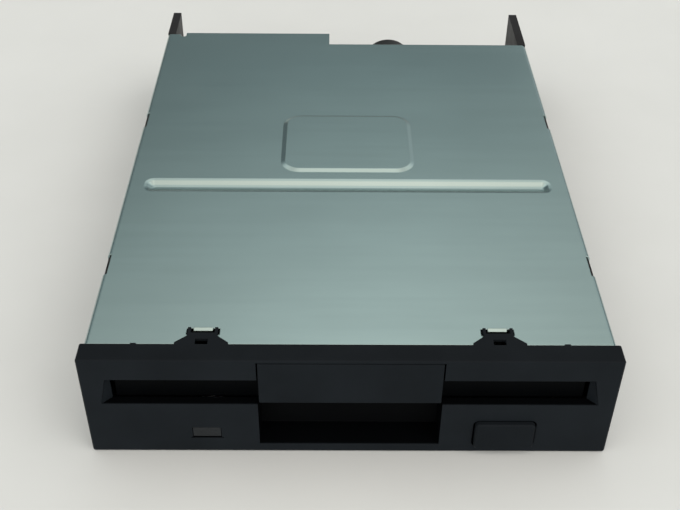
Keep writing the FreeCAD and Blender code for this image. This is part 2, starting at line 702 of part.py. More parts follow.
def front_bezel():
    shell = prism_y(rounded(0, BEZEL_H / 2, BEZEL_X, BEZEL_H / 2, CORNER_R), FRONT, RIM_Y)
    shell = shell.makeChamfer(EDGE_CUT, front_edges(shell, FRONT))
    wall_y = FRONT + BEZEL_WALL
    inside = BEZEL_X - BEZEL_RIM
    roof = BEZEL_H - BEZEL_ROOF
    shell = shell.cut(box(-inside, inside, wall_y, RIM_Y + 1, BEZEL_RIM, roof))

    half = FINGER_W / 2
    root_y = wall_y - ROOT
    pocket = box(-half - POCKET_T, half + POCKET_T, root_y, FRONT + FINGER_D + POCKET_T,
                 FINGER_Z - POCKET_T, SLOT_Z0 - 2 * PASS_GAP)
    bx = BUTTON_W / 2 + PASS_GAP
    bz = BUTTON_H / 2 + PASS_GAP
    collar = box(BUTTON_X - bx - SOCKET_T, BUTTON_X + bx + SOCKET_T, root_y, RIM_Y + SOCKET_T,
                 BEZEL_RIM - ROOT, BUTTON_Z + bz + SOCKET_T)
    lx = LAMP_W / 2 + RUN_FIT
    lz = LAMP_H / 2 + RUN_FIT
    socket = box(LAMP_X - lx - SOCKET_T, LAMP_X + lx + SOCKET_T, root_y, RIM_Y + 2 * SOCKET_T,
                 LAMP_Z - lz - SOCKET_T, LAMP_Z + lz + SOCKET_T)
    ear = box(FLAP_BAR_X + PASS_GAP, FLAP_BAR_X + PASS_GAP + FLAP_PIN_L, root_y, RIM_Y,
              FLAP_Z - 2 * SOCKET_T, roof + ROOT / 2)
    peg_x = WALL_X - PEG_IN
    peg = box(peg_x - PEG_W / 2, peg_x + PEG_W / 2, RIM_Y - ROOT, RIM_Y + PEG_L,
              COVER_TOP, COVER_TOP + CLIP_T / 2)
    fittings = both_sides(ear) + both_sides(bezel_clip()) + both_sides(bezel_foot()) + both_sides(peg)
    shell = join(shell, pocket, collar, socket, *fittings)

    middle = FLAP_W / 2 + PASS_GAP
    door = box(-middle, middle, FRONT - 1, RIM_Y + 1, SLOT_Z0, roof)
    back = FRONT + FINGER_D
    well = [(FRONT - 1, FINGER_Z), (back - FINGER_SLOPE, FINGER_Z), (back, FINGER_Z + FINGER_SLOPE_H)]
    well += [(back, SLOT_Z0), (FRONT - 1, SLOT_Z0)]
    reach = FRONT + FOOT_L
    button = prism_y(rounded(BUTTON_X, BUTTON_Z, bx, bz, BUTTON_R + PASS_GAP), FRONT - 1, reach)
    lamp = box(LAMP_X - lx, LAMP_X + lx, FRONT - 1, reach, LAMP_Z - lz, LAMP_Z + lz)
    slit_x = LAMP_SLIT_W / 2
    slit = box(LAMP_X - slit_x, LAMP_X + slit_x, FRONT - 1, wall_y,
               LAMP_Z - lz - LAMP_SLIT_H, LAMP_Z - lz)
    bore = rod_x(FLAP_Y, FLAP_Z, FLAP_BAR_R + RUN_FIT, FLAP_BAR_X, FLAP_BAR_X + 2 * PASS_GAP + FLAP_PIN_L)
    openings = [disk_slot(), door, prism_x(well, -half, half), button, lamp, slit]
    return shell.cut(openings + both_sides(bore))


def door_flap():
    half = FLAP_W / 2
    back = FRONT + FLAP_T
    panel = ((FRONT, FLAP_BOTTOM, FLAP_EDGE_R), (back, FLAP_BOTTOM), (back, FLAP_TOP),
             (FRONT, FLAP_TOP, FLAP_EDGE_R))
    web = box(-half, half, back, FLAP_Y, FLAP_Z - FLAP_WEB_T / 2, FLAP_Z + FLAP_WEB_T / 2)
    wings = box(-WING_X, WING_X, WING_Y0, WING_Y0 + WING_T, SLOT_Z0 - PASS_GAP, FLAP_Z)
    rib = box(half - FLAP_RIB_T, half, back, WING_Y0, FLAP_BOTTOM + FLAP_T, FLAP_Z)
    bar = rod_x(FLAP_Y, FLAP_Z, FLAP_BAR_R, -FLAP_BAR_X - FLAP_PIN_L, FLAP_BAR_X + FLAP_PIN_L)
    spring_x = -WING_X + WING_T
    room = box(spring_x - ROOT, spring_x + FLAP_SPRING_L + WING_T, WING_Y0 - 1, WING_Y0 + 2 * WING_T,
               FLAP_Z - 2 * WING_T, FLAP_Z + 1)
    return join(wings.cut(room), prism_x(panel, -half, half), web, bar, *both_sides(rib))


def flap_spring():
    x0 = -WING_X + WING_T
    x1 = x0 + FLAP_SPRING_L
    inner = FLAP_BAR_R + 2 * RUN_FIT
    coil = prism_x(octagon(FLAP_Y, FLAP_Z, inner + FLAP_WIRE), x0, x1)
    coil = coil.cut(prism_x(octagon(FLAP_Y, FLAP_Z, inner), x0 - 1, x1 + 1))
    back = WING_Y0 + WING_T + 2 * RUN_FIT
    leg = box(x1 - FLAP_WIRE, x1, back, back + FLAP_WIRE, FLAP_Z - 3 * inner, FLAP_Z - inner)
    rest_z = FLAP_Z + inner / 2
    rest = box(x0, x0 + FLAP_WIRE, FRONT + BEZEL_WALL, FLAP_Y - inner, rest_z, rest_z + FLAP_WIRE)
    return join(coil, leg, rest)


def eject_button():
    half_w = BUTTON_W / 2
    half_h = BUTTON_H / 2
    y0 = FRONT - BUTTON_PROUD
    y1 = FLOOR_Y0 - BEZEL_WALL
    cap = prism_y(rounded(BUTTON_X, BUTTON_Z, half_w, half_h, BUTTON_R), y0, y1)
    cap = cap.makeChamfer(EDGE_CUT, front_edges(cap, y0))
    wall = BUTTON_WALL
    hollow = box(BUTTON_X - half_w + wall, BUTTON_X + half_w - wall, y0 + 2 * wall, y1 + 1,
                 BUTTON_Z - half_h + wall, SLIDER_Z0 - wall / 2)
    grip = box(BUTTON_X - TONGUE_GRIP_W / 2, BUTTON_X + TONGUE_GRIP_W / 2, FRONT + wall, y1 + 1,
               SLIDER_Z0, SLIDER_Z1)
    return cap.cut([hollow, grip])


def slider_plate():
    top = GUIDE_PIN_Z + SLIDER_EAR_H
    angle = [(STRIP_IN, SLIDER_Z0), (SLIDER_X, SLIDER_Z0, SLIDER_BEND_R), (SLIDER_X, top),
             (SLIDER_IN, top)]
    angle += [(SLIDER_IN, SLIDER_Z1), (STRIP_IN, SLIDER_Z1)]
    strip = prism_y(angle, SLIDER_Y0, SLIDER_Y1)
    pins = guide_pin_places()
    dip_z = GUIDE_PIN_Z - LOAD_DROP - SLIDER_EAR_H
    dip = [(pins[0] + SLIDER_DIP_IN - SLIDER_EAR_H, top + 1), (pins[0] + SLIDER_DIP_IN, dip_z)]
    dip += [(pins[1] - SLIDER_DIP_IN / 2, dip_z), (pins[1] - SLIDER_DIP_IN / 2 + SLIDER_EAR_H, top + 1)]
    strip = strip.cut(prism_x(dip, SLIDER_IN - 1, SLIDER_X + 1))
    hook = box(STRIP_IN + ROOT, SLIDER_IN - ROOT, SPRING_Y1, SPRING_Y1 + SLIDER_T,
               SLIDER_Z0, ROD_Z + SPRING_R)
    cross_y = SPINDLE_Y - ROTOR_R - 2 * PASS_GAP
    cross = box(-STRIP_IN, STRIP_IN, cross_y - SLIDER_STRIP_W, cross_y, SLIDER_Z0, SLIDER_Z1)
    half = TONGUE_GRIP_W / 2
    tongue = [(BUTTON_X - half, FRONT + BUTTON_WALL), (BUTTON_X + half, FRONT + BUTTON_WALL)]
    tongue += [(BUTTON_X + half, cross_y), (BUTTON_X - 2 * half, cross_y),
               (BUTTON_X - half, cross_y - 2 * SLIDER_STRIP_W)]
    lug_x = LEVER_X - LATCH_LUG_W
    lug_y = LEVER_Y - CATCH_L + 2 * LATCH_LUG_W
    lug = box(lug_x - LATCH_LUG_W / 2, lug_x + LATCH_LUG_W / 2, lug_y - SLIDER_T, lug_y,
              SLIDER_Z0, LEVER_Z1 + PASS_GAP)
    tail = box(-SLIDER_X, -STRIP_IN, SLIDER_Y1 - 1, lug_y, SLIDER_Z0, SLIDER_Z1)
    plate = join(cross, prism_z(tongue, SLIDER_Z0, SLIDER_Z1), lug, tail, *both_sides(strip),
                 *both_sides(hook))

    play = GUIDE_PIN_R + RUN_FIT
    low_z = GUIDE_PIN_Z - LOAD_DROP
    length = math.hypot(SLIDER_TRAVEL, LOAD_DROP)
    ny = play * LOAD_DROP / length
    nz = play * SLIDER_TRAVEL / length
    x0 = -SLIDER_X - 1
    x1 = SLIDER_X + 1
    cams = []
    for y in pins:
        low_y = y + SLIDER_TRAVEL
        ramp = [(y + ny, GUIDE_PIN_Z + nz), (low_y + ny, low_z + nz), (low_y - ny, low_z - nz),
                (y - ny, GUIDE_PIN_Z - nz)]
        cams.append(prism_x(ramp, x0, x1))
        cams.append(rod_x(y, GUIDE_PIN_Z, play, x0, x1))
        cams.append(rod_x(low_y, low_z, play, x0, x1))
    return plate.cut(cams)


def disk_holder():
    lip = HOLDER_IN - LIP_W
    z0 = HOLDER_Z0 + HOLDER_T
    z1 = HOLDER_Z1 - HOLDER_T
    section = [(-lip, HOLDER_Z0), (-HOLDER_X, HOLDER_Z0, HOLDER_T), (-HOLDER_X, HOLDER_Z1, HOLDER_T)]
    section += [(HOLDER_X, HOLDER_Z1, HOLDER_T), (HOLDER_X, HOLDER_Z0, HOLDER_T), (lip, HOLDER_Z0),
                (lip, z0)]
    section += [(HOLDER_IN, z0), (HOLDER_IN, z1), (-HOLDER_IN, z1), (-HOLDER_IN, z0), (-lip, z0)]
    channel = prism_y(section, HOLDER_Y0, HOLDER_Y1)
    front = HOLDER_Y0 + HOLDER_FLARE_L
    flare = [(HOLDER_Y0, z1 + HOLDER_FLARE), (front, z1), (front, HOLDER_Z1),
             (HOLDER_Y0, HOLDER_Z1 + HOLDER_FLARE)]
    below = z1 - ROOT / 2
    above = HOLDER_Z1 + 1
    cuts = [box(-lip, lip, HOLDER_Y0 - 1, front, below, above)]
    cuts.append(box(LEVER_X + CATCH_L, SCREW_X + CATCH_W, SPINDLE_Y + HUB_R + ROOT, HOLDER_Y1 + 1,
                    below, above))
    cuts.append(rod_z(0, SPINDLE_Y, HUB_R, below, above))
    x0 = HUB_R + HOLDER_WINDOW_IN
    x1 = HOLDER_IN - HOLDER_WINDOW_IN
    window_y = SPINDLE_Y - HOLDER_WINDOW_FRONT
    window = prism_z(clipped_rect(x0, x1, window_y, window_y + HOLDER_WINDOW_L, WINDOW_CUT), below, above)
    cuts.extend(both_sides(window))
    half = HOLDER_BAY_W / 2
    bay = box(-half, half, HOLDER_Y0 - 1, HOLDER_Y0 + HOLDER_BAY_L, below, above + HOLDER_FLARE)
    return join(channel.cut(cuts), prism_x(flare, -lip, lip)).cut(bay)


def holder_pins():
    pins = []
    end = WALL_IN + GUIDE_GROOVE - PASS_GAP
    for y in guide_pin_places():
        pins.extend(both_sides(rod_x(y, GUIDE_PIN_Z, GUIDE_PIN_R, HOLDER_X, end)))
    return Part.makeCompound(pins)


def latch_lever():
    x = LEVER_X
    y = LEVER_Y
    along = V(math.cos(math.radians(LEVER_REST)), math.sin(math.radians(LEVER_REST)), 0)
    across = V(-along.y, along.x, 0)
    pivot = V(x, y, 0)
    tip = pivot + along * LEVER_ARM
    end = tip + along * LEVER_TIP_R
    sides = [pivot + across * (LEVER_ROOT_W / 2), pivot - across * (LEVER_ROOT_W / 2)]
    ends = [end - across * LEVER_TIP_R, end + across * LEVER_TIP_R]
    round_end = LEVER_TIP_R - RUN_FIT
    arm = [(p.x, p.y) for p in sides] + [(p.x, p.y, round_end) for p in ends]
    inner = x - LEVER_PIVOT_R / 2
    catch = [(inner, y), (inner, y - CATCH_L + 2.5 * LEVER_T),
             (inner - CATCH_W / 2, y - CATCH_L + 2 * LEVER_T)]
    catch += [(inner - CATCH_W / 2, y - CATCH_L), (inner + CATCH_ARM_W, y - CATCH_L),
              (inner + CATCH_ARM_W, y)]
    hub = rod_z(x, y, LEVER_HUB_R, LEVER_Z0, LEVER_Z1)
    pin = rod_z(tip.x, tip.y, LEVER_PIN_R, LEVER_Z0, HOLDER_Z1 - HOLDER_T - SPRING_R)
    lever = join(hub, prism_z(catch, LEVER_Z0, LEVER_Z1), prism_z(arm, LEVER_Z0, LEVER_Z1), pin)
    return lever.cut(rod_z(x, y, LEVER_PIVOT_R + RUN_FIT, LEVER_Z0 - 1, LEVER_Z1 + 1))


def latch_spring():
    inner = LATCH_SPRING_R - SPRING_WIRE
    z1 = LATCH_SPRING_Z + LATCH_SPRING_H
    coil = prism_z(octagon(LEVER_X, LEVER_Y, LATCH_SPRING_R), LATCH_SPRING_Z, z1)
    coil = coil.cut(prism_z(octagon(LEVER_X, LEVER_Y, inner), LATCH_SPRING_Z - 1, z1 + 1))
    leg = box(LEVER_X - LATCH_SPRING_R, LEVER_X - inner, LEVER_Y, LEVER_Y + 2 * LATCH_SPRING_R,
              LATCH_SPRING_Z, LATCH_SPRING_Z + SPRING_WIRE)
    return join(coil, leg)


def latch_retainer():
    r = RETAINER_R
    washer = prism_z(
        [(LEVER_X + px, LEVER_Y + py) for px, py in clipped_rect(-r, r, -r, r, r / 2)],
        RETAINER_Z,
        RETAINER_Z + RETAINER_T,
    )
    return washer.cut(rod_z(LEVER_X, LEVER_Y, LEVER_PIVOT_R + SEAT_FIT, RETAINER_Z - 1, RETAINER_Z + 1))


def eject_spring():
    """Right eject spring: its coils as one eight-sided rod, with a flat hook at each end."""
    y0 = SPRING_Y0 + RUN_FIT
    y1 = SPRING_Y1 - RUN_FIT
    hook = SPRING_POST_L + ROOT
    coil = prism_y(octagon(SPRING_X, ROD_Z, SPRING_R), y0 + SPRING_POST_L, y1 - SPRING_POST_L)
    half = SPRING_WIRE / 2
    ends = [box(SPRING_X - SPRING_R, SPRING_X + SPRING_R, y0, y0 + hook, ROD_Z - half, ROD_Z + half)]
    ends.append(box(SPRING_X - SPRING_R, SPRING_X + SPRING_R, y1 - hook, y1, ROD_Z - half, ROD_Z + half))
    return join(coil, *ends)


def side_rail(cover_end):
    """Right side rail; the cover's flange sits in a rebate as far as cover_end."""
    step_z = RAIL_H + RAIL_STEP
    section = [(WALL_IN, 0), (RAIL_X, 0), (RAIL_X, RAIL_H), (WALL_X, step_z), (WALL_X, COVER_TOP),
               (WALL_IN, COVER_TOP)]
    rail = prism_y(section, RIM_Y, REAR)
    pads = []
    pad_z = SIDE_HOLE_Z - PAD_R
    inner = WALL_IN - SIDE_HOLE_DEPTH + RAIL_X - WALL_IN - PAD_T
    for y in side_hole_places():
        boss = [(y - PAD_R, FLOOR_Z1), (y - PAD_R, pad_z + PAD_CUT), (y - PAD_R + PAD_CUT, pad_z)]
        boss += [(y + PAD_R - PAD_CUT, pad_z), (y + PAD_R, pad_z + PAD_CUT), (y + PAD_R, FLOOR_Z1)]
        pads.append(prism_x(boss, inner, WALL_IN + ROOT))
    rail = join(rail, *pads)
    cuts = [box(WALL_IN - 1, WALL_X + 1, RIM_Y - 1, cover_end, COVER_IN, COVER_TOP + 1)]
    cuts.append(box(FLANGE_SEAT_X, WALL_X + 1, RIM_Y - 1, cover_end, FLANGE_Z - PASS_GAP, COVER_IN + 1))
    play = GUIDE_PIN_R + RUN_FIT
    low_z = GUIDE_PIN_Z - LOAD_DROP - play
    for y in guide_pin_places():
        cuts.append(box(WALL_IN - 1, WALL_IN + GUIDE_GROOVE, y - play, y + play,
                        low_z, GUIDE_PIN_Z + play))
    for y in side_hole_places():
        cuts.append(rod_x(y, SIDE_HOLE_Z, SIDE_HOLE_R, RAIL_X - SIDE_HOLE_DEPTH, RAIL_X + 1))
    rail = rail.cut(cuts)
    lugs = []
    half = NOTCH_L / 2 - PASS_GAP
    for back in NOTCH_BACKS:
        y = COVER_Y0 + back
        lugs.append(box(FLANGE_SEAT_X - ROOT, WALL_X - PASS_GAP, y - half, y + half,
                        FLANGE_Z + PASS_GAP, COVER_IN))
    return join(rail, *lugs)


def main_frame():
    floor = box(-WALL_IN, WALL_IN, FLOOR_Y0, FLOOR_REAR, FLOOR_Z0, FLOOR_Z1)
    feet = both_sides(box(WALL_IN - CORNER_BLOCK_W, WALL_IN, RIM_Y, FLOOR_Y0 + RIB_T, 0, FLOOR_Z1))
    for y in base_hole_places():
        x = BASE_HOLE_X - PAD_R
        pad = [(x, y - PAD_R + PAD_CUT), (x + PAD_CUT, y - PAD_R), (WALL_IN, y - PAD_R),
               (WALL_IN, y + PAD_R)]
        pad += [(x + PAD_CUT, y + PAD_R), (x, y + PAD_R - PAD_CUT)]
        feet.extend(both_sides(prism_z(pad, 0, FLOOR_Z1)))
    post_x = SPRING_POST_L / 2
    post_y = SPRING_Y0 - SPRING_POST_L
    post = box(SPRING_X - post_x, SPRING_X + post_x, post_y, SPRING_Y0, FLOOR_Z0, ROD_Z + SPRING_R)
    pivot = [(0, FLOOR_Z0), (LEVER_STEP_R, FLOOR_Z0), (LEVER_STEP_R, LEVER_Z0 - RUN_FIT)]
    pivot += [(LEVER_PIVOT_R, LEVER_Z0 - RUN_FIT), (LEVER_PIVOT_R, RETAINER_Z + 2 * RETAINER_T)]
    pivot += [(0, RETAINER_Z + 2 * RETAINER_T)]
    cradles = []
    for y0, y1 in CRADLES:
        foot = CRADLE_OUT - CLAMP_T
        side = [(ROD_X - CRADLE_OUT - foot / 2, FLOOR_Z0), (ROD_X + CRADLE_IN, FLOOR_Z0),
                (ROD_X + CRADLE_IN, ROD_Z + ROD_R)]
        side += [(ROD_X - CRADLE_OUT, ROD_Z + ROD_R)]
        cradles.append(prism_y(side, y0, y1))
    bosses = []
    for y in (BOARD_Y0 + RIB_T, FLOOR_REAR - BOARD_BOSS):
        x1 = BOARD_X - RIB_T
        boss = clipped_rect(x1 - BOARD_BOSS, x1, y, y + BOARD_BOSS, PAD_CUT)
        bosses.extend(both_sides(prism_z(boss, BOARD_TOP, FLOOR_Z0 + ROOT)))
    ribs = []
    for y in (FLOOR_Y0, BOARD_Y0 - 2 * RIB_T):
        rib = [(-WALL_IN, FLOOR_Z0 + ROOT), (-WALL_IN + RIB_T, BOARD_Z), (WALL_IN - RIB_T, BOARD_Z),
               (WALL_IN, FLOOR_Z0 + ROOT)]
        ribs.append(prism_y(rib, y, y + RIB_T))
    raised = both_sides(post) + cradles + bosses + ribs
    deck = join(floor, turned_z(pivot, LEVER_X, LEVER_Y), *feet, *raised)

    below = FLOOR_Z0 - 1
    above = FLOOR_Z1 + 1
    cuts = [rod_z(0, SPINDLE_Y, ROTOR_R + ROTOR_ROOM, below, above)]
    for y0, y1 in CRADLES:
        seat = ROD_R + SEAT_FIT
        cuts.append(rod_y(ROD_X, ROD_Z, seat, y0 - 1, y1 + 1))
        cuts.append(box(ROD_X - seat, ROD_X + seat, y0 - 1, y1 + 1, ROD_Z, ROD_Z + 2 * ROD_R))
    room = PAD_R + SEAT_FIT
    inner = RAIL_X - SIDE_HOLE_DEPTH - PAD_T - SEAT_FIT
    for y in side_hole_places():
        cuts.extend(both_sides(box(inner, WALL_IN + 1, y - room, y + room, below, above)))
    for y in base_hole_places():
        cuts.extend(both_sides(rod_z(BASE_HOLE_X, y, BASE_HOLE_R, -1, BASE_HOLE_DEPTH)))
    foot_half = FOOT_W / 2 + PASS_GAP
    hook_y = FRONT + FOOT_L - FOOT_T - PASS_GAP
    foot_z = BEZEL_RIM - ROOT
    hook_z = BEZEL_RIM + FOOT_T + FOOT_HOOK + PASS_GAP
    foot_room = [(RIM_Y - 1, foot_z), (FRONT + FOOT_L + SOCKET_T, foot_z),
                 (FRONT + FOOT_L + SOCKET_T, hook_z)]
    foot_room += [(hook_y, hook_z), (hook_y, BEZEL_RIM + FOOT_T + PASS_GAP),
                  (RIM_Y - 1, BEZEL_RIM + FOOT_T + PASS_GAP)]
    cuts.extend(both_sides(prism_x(foot_room, FOOT_X - foot_half, FOOT_X + foot_half)))
    lead_x0 = LAMP_X - LAMP_LEAD_PITCH
    lead_x1 = LAMP_X + LAMP_LEAD_PITCH
    cuts.append(box(lead_x0, lead_x1, FLOOR_Y0 - 1, LAMP_LEAD_Y + PASS_GAP, BOARD_Z - 1, above))
    cuts.append(rod_y(SCREW_X, SCREW_Z, STEPPER_R + PASS_GAP, STEPPER_Y0, FLOOR_REAR + 1))
    x0 = WALL_IN - WINDOW_IN
    window_y = SPINDLE_Y + PLATE_REAR
    window = clipped_rect(x0, x0 + WINDOW_W, window_y, window_y + WINDOW_W, WINDOW_CUT)
    cuts.extend(both_sides(prism_z(window, below, above)))
    return deck.cut(cuts)


def motor_plate():
    wide = WALL_IN - CORNER_BLOCK_W
    narrow = wide - PLATE_TAPER_W
    rear = SPINDLE_Y + PLATE_REAR
    front = SPINDLE_Y - PLATE_FRONT + RIB_T
    notch = PLATE_NOTCH_W / 2
    edge = [(-wide, front), (wide, front), (wide, rear - PLATE_TAPER), (narrow, rear)]
    edge += [(notch, rear), (notch - PAD_CUT, rear - PLATE_NOTCH_L),
             (PAD_CUT - notch, rear - PLATE_NOTCH_L), (-notch, rear)]
    edge += [(-narrow, rear), (-wide, rear - PLATE_TAPER)]
    plate = prism_z(edge, PLATE_Z0, FLOOR_Z0)
    return plate.cut(rod_z(0, SPINDLE_Y, BEARING_R + SEAT_FIT, PLATE_Z0 - 1, FLOOR_Z0 + 1))


def spindle_bearing():
    z0 = PLATE_Z0 - ROTOR_T
    z1 = ROTOR_Z1 - ROTOR_T - PASS_GAP
    bore = SHAFT_R + RUN_FIT
    section = [(0, z0), (BEARING_R, z0), (BEARING_R, z1), (bore, z1), (bore, z0 + ROTOR_T / 2),
               (0, z0 + ROTOR_T / 2)]
    return turned_z(section, 0, SPINDLE_Y)


def spindle_shaft():
    z0 = PLATE_Z0 - ROTOR_T / 2 + RUN_FIT
    lead = SHAFT_R / 3
    section = [(0, z0), (SHAFT_R, z0), (SHAFT_R, CENTRE_TOP - lead), (SHAFT_R - lead, CENTRE_TOP),
               (0, CENTRE_TOP)]
    return turned_z(section, 0, SPINDLE_Y)


def rotor_cup():
    z0 = FLOOR_Z0 + ROTOR_LIFT
    inner = ROTOR_R - ROTOR_T
    bore = SHAFT_R + SEAT_FIT
    section = [(bore, ROTOR_Z1 - ROTOR_T), (inner, ROTOR_Z1 - ROTOR_T), (inner, z0), (ROTOR_R, z0)]
    section += [(ROTOR_R, ROTOR_Z1), (bore, ROTOR_Z1)]
    return turned_z(section, 0, SPINDLE_Y)


def rotor_magnet():
    return ring_z(0, SPINDLE_Y, MAGNET_R, MAGNET_R - MAGNET_T, FLOOR_Z0 + ROTOR_LIFT, ROTOR_Z1 - ROTOR_T)


def chucking_hub():
    hub = ring_z(0, SPINDLE_Y, HUB_R, SHAFT_R + SEAT_FIT, ROTOR_Z1, HUB_TOP)
    x = DRIVE_PIN_OFF
    half_l = DRIVE_LEAF_L / 2 + PASS_GAP
    half_w = DRIVE_LEAF_W / 2 + PASS_GAP
    z0 = HUB_TOP - 3 * DRIVE_LEAF_T
    return hub.cut(box(x - half_l, x + half_l, SPINDLE_Y - half_w, SPINDLE_Y + half_w, z0, HUB_TOP + 1))


def drive_pin():
    x = DRIVE_PIN_OFF
    z0 = HUB_TOP - 3 * DRIVE_LEAF_T
    half_l = DRIVE_LEAF_L / 2
    half_w = DRIVE_LEAF_W / 2
    leaf = box(x - half_l, x + half_l, SPINDLE_Y - half_w, SPINDLE_Y + half_w, z0, z0 + DRIVE_LEAF_T)
    return join(leaf, rod_z(x, SPINDLE_Y, DRIVE_PIN_R, z0, CENTRE_TOP - PASS_GAP))


def stator_core():
    z0 = FLOOR_Z0 + CORE_LIFT
    z1 = z0 + CORE_T
    reach = math.sqrt(STATOR_R ** 2 - (SHOE_W / 2) ** 2)
    root = CORE_R - TOOTH_W
    w = TOOTH_W / 2
    s = SHOE_W / 2
    tooth = [(root, -w), (reach - SHOE_T, -w), (reach - SHOE_T, -s), (reach, -s)]
    tooth += [(reach, s), (reach - SHOE_T, s), (reach - SHOE_T, w), (root, w)]
    turns = [math.radians(360 / TEETH * (i + 0.5)) for i in range(TEETH)]
    yoke = prism_z([(CORE_R * math.cos(a), SPINDLE_Y + CORE_R * math.sin(a)) for a in turns], z0, z1)
    core = join(yoke, *spun(prism_z(tooth, z0, z1), TEETH))
    return core.cut(rod_z(0, SPINDLE_Y, BEARING_R + SEAT_FIT, z0 - 1, z1 + 1))


def stator_coils():
    z0 = FLOOR_Z0 + CORE_LIFT
    over = (COIL_H - CORE_T) / 2
    x0 = CORE_R + ROOT
    coil = box(x0, x0 + COIL_L, -COIL_W / 2, COIL_W / 2, z0 - over, z0 + CORE_T + over)
    tooth = box(0, STATOR_R, -TOOTH_W / 2, TOOTH_W / 2, z0, z0 + CORE_T)
    return Part.makeCompound(spun(coil.cut(tooth), TEETH))


def guide_rod():
    return rod_y(ROD_X, ROD_Z, ROD_R, ROD_Y0 + ROOT, ROD_Y1 - ROOT)


def rod_clamps():
    z0 = ROD_Z + ROD_R
    clamps = []
    for y0, y1 in CRADLES:
        clamps.append(box(ROD_X - CRADLE_OUT, ROD_X + CRADLE_IN, y0 + ROOT, y1 - ROOT, z0, z0 + CLAMP_T))
    return Part.makeCompound(clamps)


def head_carriage():
    h = HEAD_Y
    nose_z = MEDIA_Z - SLEEVE_TOP
    nose = [(h - NOSE_FRONT, nose_z), (h - NOSE_FRONT, nose_z - NOSE_T),
            (h + DECK_FRONT, nose_z - NOSE_T)]
    nose += [(h + DECK_FRONT + DECK_LIFT, DECK_Z0), (h + DECK_FRONT + DECK_L, DECK_Z0),
             (h + DECK_FRONT + DECK_L, DECK_Z1)]
    nose += [(h + 2 * DECK_FRONT + DECK_T, DECK_Z1), (h + 2 * DECK_FRONT, nose_z)]
    body = prism_x(nose, -NOSE_W / 2, NOSE_W / 2)
    top = ROD_Z + SLEEVE_TOP
    x1 = ROD_X + SLEEVE_IN
    sleeve = [(CARRIAGE_X0, CARRIAGE_Z0), (x1, CARRIAGE_Z0), (x1 + DECK_LIFT, DECK_Z0),
              (-NOSE_W / 2, DECK_Z0)]
    sleeve += [(-NOSE_W / 2, DECK_Z1), (x1 + ROD_R, DECK_Z1), (x1, top - PAD_CUT), (x1 - PAD_CUT, top)]
    sleeve += [(CARRIAGE_X0 + PAD_CUT, top), (CARRIAGE_X0, top - PAD_CUT)]
    guide = prism_y(sleeve, h + SLEEVE_FRONT, h + SLEEVE_FRONT + SLEEVE_L)
    x1 = SCREW_X + SCREW_R + 2 * FOLLOWER_T
    block_z = SCREW_Z - SCREW_R - PASS_GAP
    block = [(NOSE_W / 2, DECK_Z0), (x1, DECK_Z0), (x1, block_z), (x1 - SLEEVE_IN - ROD_R, block_z),
             (NOSE_W / 2, DECK_Z1)]
    half = CARRIER_L / 2
    carrier = prism_y(block, h + FOLLOWER_BACK - half, h + FOLLOWER_BACK + half)
    tower_top = ARM_Z + TOWER_TOP
    wide = TOWER_L / 2
    ear = [(ARM_Y - 1.5 * wide, DECK_Z0), (ARM_Y + wide, DECK_Z0), (ARM_Y + wide, tower_top - PAD_CUT)]
    ear += [(ARM_Y + wide - PAD_CUT, tower_top), (ARM_Y - wide + PAD_CUT, tower_top),
            (ARM_Y - wide, tower_top - PAD_CUT)]
    towers = both_sides(prism_x(ear, TOWER_IN, TOWER_IN + TOWER_T))
    link = box(NOSE_W / 2 - ROOT, TOWER_IN + TOWER_T, ARM_Y - wide, ARM_Y + wide, DECK_Z0, DECK_Z1)
    flag_y = h + DECK_FRONT + DECK_L
    flag = box(-FLAG_T / 2, FLAG_T / 2, flag_y - ROOT, flag_y + FLAG_L - DECK_LIFT,
               DECK_Z0, DECK_Z1 - DECK_LIFT)
    carriage = join(body, guide, carrier, flag, *towers, *both_sides(link))
    bore_y = h + SLEEVE_FRONT
    bores = [rod_y(ROD_X, ROD_Z, ROD_R + RUN_FIT, bore_y - 1, bore_y + SLEEVE_L + 1)]
    axle_x = TOWER_IN + TOWER_T + 1
    bores.append(rod_x(ARM_Y, ARM_Z, ARM_AXLE_R + RUN_FIT, -axle_x, axle_x))
    return carriage.cut(bores)


def screw_follower():
    x0 = SCREW_X + SCREW_R + FOLLOWER_T
    y = HEAD_Y + FOLLOWER_BACK
    half = FOLLOWER_L / 2
    leaf = box(x0, x0 + FOLLOWER_T, y - half, y + half,
               SCREW_Z - SCREW_R - PASS_GAP, SCREW_Z + SCREW_R + FOLLOWER_T)
    tooth_y = FOLLOWER_T
    tooth = [(SCREW_X + SCREW_R + RUN_FIT, y - tooth_y / 2), (x0 + RUN_FIT, y - tooth_y),
             (x0 + RUN_FIT, y + tooth_y)]
    tooth += [(SCREW_X + SCREW_R + RUN_FIT, y + tooth_y / 2)]
    return join(leaf, prism_z(tooth, SCREW_Z - SCREW_R / 2, SCREW_Z + SCREW_R / 2))


def head(plate_z, face_z):
    """Head block on its plate; plate_z is where it seats, face_z is its working face."""
    z1 = plate_z + math.copysign(HEAD_PLATE_T, face_z - plate_z)
    a = HEAD_PLATE_W / 2
    b = HEAD_PLATE_L / 2
    plate = box(-a, a, HEAD_Y - b, HEAD_Y + b, min(plate_z, z1), max(plate_z, z1))
    a = HEAD_W / 2
    b = HEAD_L / 2
    return join(plate, box(-a, a, HEAD_Y - b, HEAD_Y + b, min(z1, face_z), max(z1, face_z)))


def lower_head():
    return head(MEDIA_Z - SLEEVE_TOP, MEDIA_Z - HEAD_AIR)


def lifted(shape):
    """Turn a piece of the upper arm from its lowered place to its raised place."""
    return shape.rotated(V(0, ARM_Y, ARM_Z), V(1, 0, 0), -HEAD_LIFT)


